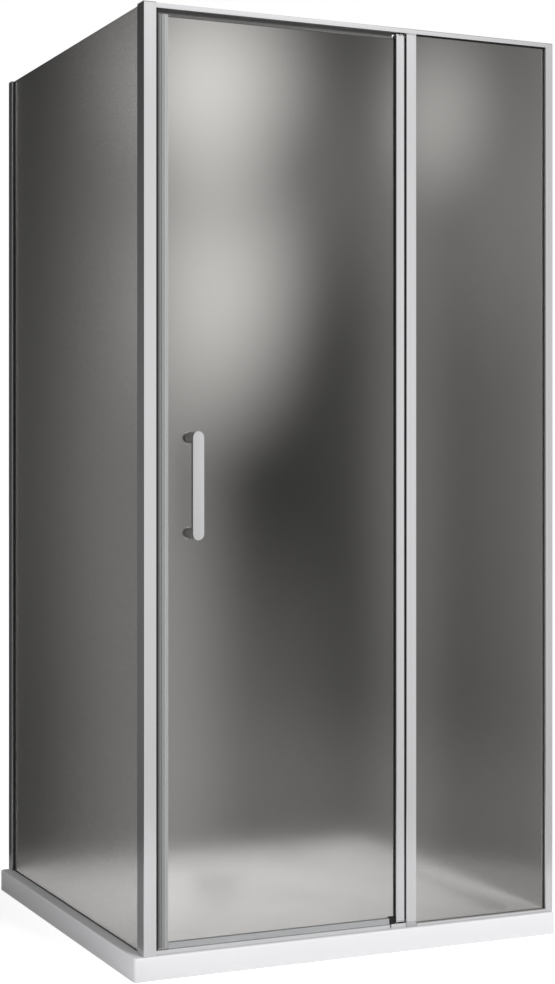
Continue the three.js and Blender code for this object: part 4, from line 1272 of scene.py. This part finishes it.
@dataclass
class Studio:
    """Floor, world, lamps, camera, and a surround that only glass and metal show."""

    eye: Vector = Vector((-1.8663, -3.9498, 1.0471))
    heading: float = math.radians(23.26)
    focal: float = 1872.3
    centre_x: float = 197.66
    centre_y: float = 461.35
    image_width: int = 555
    image_height: int = 984
    surround_radius: float = 1.3
    surround_height: float = 3.6
    surround_x: float = -0.3
    surround_y: float = -0.45
    ambient: float = 0.4
    glows: tuple[Glow, ...] = (
        Glow(-58, 1.4, 2.4, 5.0, 0.8),
        Glow(-60, 2.75, 2.2, 0.9, 0.34),
        Glow(124, 0.8, 0.42, 2.6, 0.17),
        Glow(95, 1.0, 0.6, 2.8, 0.08),
        Glow(75, 1.0, 0.32, 2.8, 0.277),
        Glow(67, 2.1, 0.34, 0.42, 0.661),
        Glow(65.5, 1.5, 0.3, 0.55, 0.536),
        Glow(60, 1.85, 0.5, 0.6, 0.125),
        Glow(63, 0.35, 0.42, 0.7, 0.089),
        Glow(52, 0.1, 1.1, 0.38, 0.071),
        Glow(44, 1.0, 0.17, 2.8, 0.098),
        Glow(40, 1.99, 0.22, 0.34, 0.295),
        Glow(34, 1.75, 0.4, 0.6, 0.07),
        Glow(23, 1.0, 0.15, 2.8, 0.06),
    )
    dark: float = 0.001
    bounced: float = 0.2
    inside: float = 0.3
    floor_size: float = 60.0
    floor_white: float = 0.9
    floor_dim: float = 0.32
    floor_front: float = 0.78
    floor_lift: float = 0.64
    floor_shine: float = 0.1
    front_edge: tuple[float, float] = (-0.4, 0.2)

    def camera(self) -> None:
        """Sets the camera at the photograph's place and angle."""
        data = bpy.data.cameras.new("camera")
        data.lens = self.focal / self.image_height * data.sensor_width
        data.shift_x = (self.image_width / 2 - self.centre_x) / self.image_height
        data.shift_y = (self.centre_y - self.image_height / 2) / self.image_height
        camera = bpy.data.objects.new("camera", data)
        camera.location = self.eye
        camera.rotation_euler = Euler((math.pi / 2, 0, -self.heading))
        bpy.context.scene.collection.objects.link(camera)
        bpy.context.scene.camera = camera

    def world(self) -> None:
        """Lights the room evenly, and shows white to the camera, in glass and in metal."""
        world = bpy.data.worlds.new("room")
        bpy.context.scene.world = world
        world.use_nodes = True
        tree = world.node_tree
        background = next(node for node in tree.nodes if node.type == "BACKGROUND")
        background.inputs["Color"].default_value = (1, 1, 1, 1)
        path = tree.nodes.new("ShaderNodeLightPath")
        seen = path.outputs["Is Camera Ray"]
        for name in ("Is Glossy Ray", "Is Transmission Ray"):
            either = tree.nodes.new("ShaderNodeMath")
            either.operation = "MAXIMUM"
            tree.links.new(seen, either.inputs[0])
            tree.links.new(path.outputs[name], either.inputs[1])
            seen = either.outputs[0]
        level = tree.nodes.new("ShaderNodeMapRange")
        level.inputs["To Min"].default_value = self.ambient
        level.inputs["To Max"].default_value = 1.0
        tree.links.new(seen, level.inputs["Value"])
        tree.links.new(level.outputs[0], background.inputs["Strength"])

    def floor(self) -> None:
        """Lays a pale floor that keeps the enclosure's shadow, painted dimmer for glass, gloss and bounced
        light.
        """
        bpy.ops.mesh.primitive_plane_add(size=self.floor_size)
        floor = bpy.context.object
        floor.name = "floor"
        recipe = Recipe("pale_floor", Roughness=0.9, Emission_Color=(1, 1, 1))
        path = recipe.add("ShaderNodeLightPath")
        seen = path.outputs["Is Camera Ray"]
        place = recipe.place()
        ahead = recipe.math("SUBTRACT", recipe.part(place, Direction.X), recipe.part(place, Direction.Y))
        # Seen through glass the floor's colour drops to floor_dim; in gloss and bounced light it runs from
        # floor_dim at the left and back to floor_front at the front: painted shade, not the floor's own
        # colour.
        direct = recipe.math("MAXIMUM", seen, path.outputs["Is Transmission Ray"])
        plain = recipe.math("MULTIPLY_ADD", seen, self.floor_white - self.floor_dim, self.floor_dim)
        around = recipe.span(ahead, *self.front_edge, self.floor_dim, self.floor_front)
        recipe.feed(recipe.shader.inputs["Base Color"], recipe.mix(direct, around, plain))
        # A faint glow at the front, shown only in gloss: a painted reflection.
        shine = recipe.span(ahead, *self.front_edge, 0.0, self.floor_shine)
        front = recipe.math("MULTIPLY", recipe.mirrored(path), shine)
        lift = recipe.math("MULTIPLY_ADD", seen, self.floor_lift, front)
        recipe.feed(recipe.shader.inputs["Emission Strength"], lift)
        floor.data.materials.append(recipe.material)

    def surround(self) -> None:
        """Stands a dim, softly lit wall round the enclosure, which only glass and metal show."""
        bpy.ops.mesh.primitive_cylinder_add(
            vertices=96, radius=self.surround_radius, depth=self.surround_height, end_fill_type="NOTHING",
            location=(self.surround_x, self.surround_y, self.surround_height / 2),
        )
        wall = bpy.context.object
        wall.name = "surround"
        bpy.ops.object.transform_apply(location=True)
        recipe = Recipe(
            "surround", Base_Color=(0, 0, 0), Roughness=1.0, Specular_IOR_Level=0.0, Emission_Color=(1, 1, 1),
        )
        total: Socket | float = self.dark
        for glow in self.glows:
            bearing = math.radians(glow.bearing)
            centre = (
                self.surround_x + self.surround_radius * math.cos(bearing),
                self.surround_y + self.surround_radius * math.sin(bearing),
                glow.height,
            )
            stretch = (1 / glow.reach, 1 / glow.reach, 1 / glow.rise)
            shift = tuple(-part * scale for part, scale in zip(centre, stretch))
            away = recipe.add("ShaderNodeVectorMath", operation="LENGTH")
            recipe.feed(away.inputs[0], recipe.place(stretch, shift))
            light = recipe.span(away.outputs["Value"], 0.0, 1.0, glow.level, 0.0)
            total = recipe.math("ADD", light, total)
        path = recipe.add("ShaderNodeLightPath")
        bounced = recipe.math("MINIMUM", path.outputs["Diffuse Depth"], 1.0)
        behind = recipe.math("MINIMUM", path.outputs["Transmission Depth"], 1.0)
        inside = recipe.math("MULTIPLY", recipe.mirrored(path), behind)
        shown = recipe.math("MULTIPLY_ADD", inside, self.inside, total)
        recipe.feed(recipe.shader.inputs["Emission Strength"], recipe.mix(bounced, shown, self.bounced))
        wall.data.materials.append(recipe.material)
        wall.visible_camera = False
        wall.visible_diffuse = False
        wall.visible_shadow = False

    def lamp(
        self, name: str, place: Vector, aim: Vector, size: float, power: float, spread: float = 180,
    ) -> None:
        """Hangs one soft lamp.

        Args:
            name: The lamp's name.
            place: Where it hangs.
            aim: The point that it faces.
            size: The side of its square face.
            power: Its power in watts.
            spread: The angle of its beam, in degrees.
        """
        data = bpy.data.lights.new(name, "AREA")
        data.size = size
        data.energy = power
        data.spread = math.radians(spread)
        lamp = bpy.data.objects.new(name, data)
        lamp.location = place
        lamp.rotation_euler = (aim - place).to_track_quat("-Z", "Y").to_euler()
        lamp.visible_glossy = False
        lamp.visible_transmission = False
        bpy.context.scene.collection.objects.link(lamp)

    def build(self) -> None:
        """Sets the whole studio."""
        self.camera()
        self.world()
        self.floor()
        self.surround()
        middle = Vector((0, -0.3, 0.9))
        self.lamp("key", Vector((1.0, -5.0, 3.4)), middle, 1.6, 208)
        self.lamp("fill", Vector((-1.3, -0.45, 0.22)), Vector((-0.5, -0.45, 0.02)), 0.3, 1.9)
        self.lamp("overhead", Vector((-0.12, 0.08, 3.2)), Vector((-0.12, 0.08, 0)), 0.5, 2.3, 29)
        bpy.context.scene.view_settings.view_transform = "Standard"


def main() -> None:
    """Builds the studio and dresses every piece."""
    logging.basicConfig(level=logging.INFO, format="%(name)s: %(message)s")
    Studio().build()
    for finish, nodes in CAD_FINISHES.items():
        for node in nodes:
            put_on(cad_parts[node], finish)
            log.info("dressed %s", node)
    for assembly in (Tray(), Waste(), Handle(), Mouldings(), StopPlug(), ScrewCovers()):
        assembly.build()
        assembly.dress()


if __name__ == "__main__":
    main()
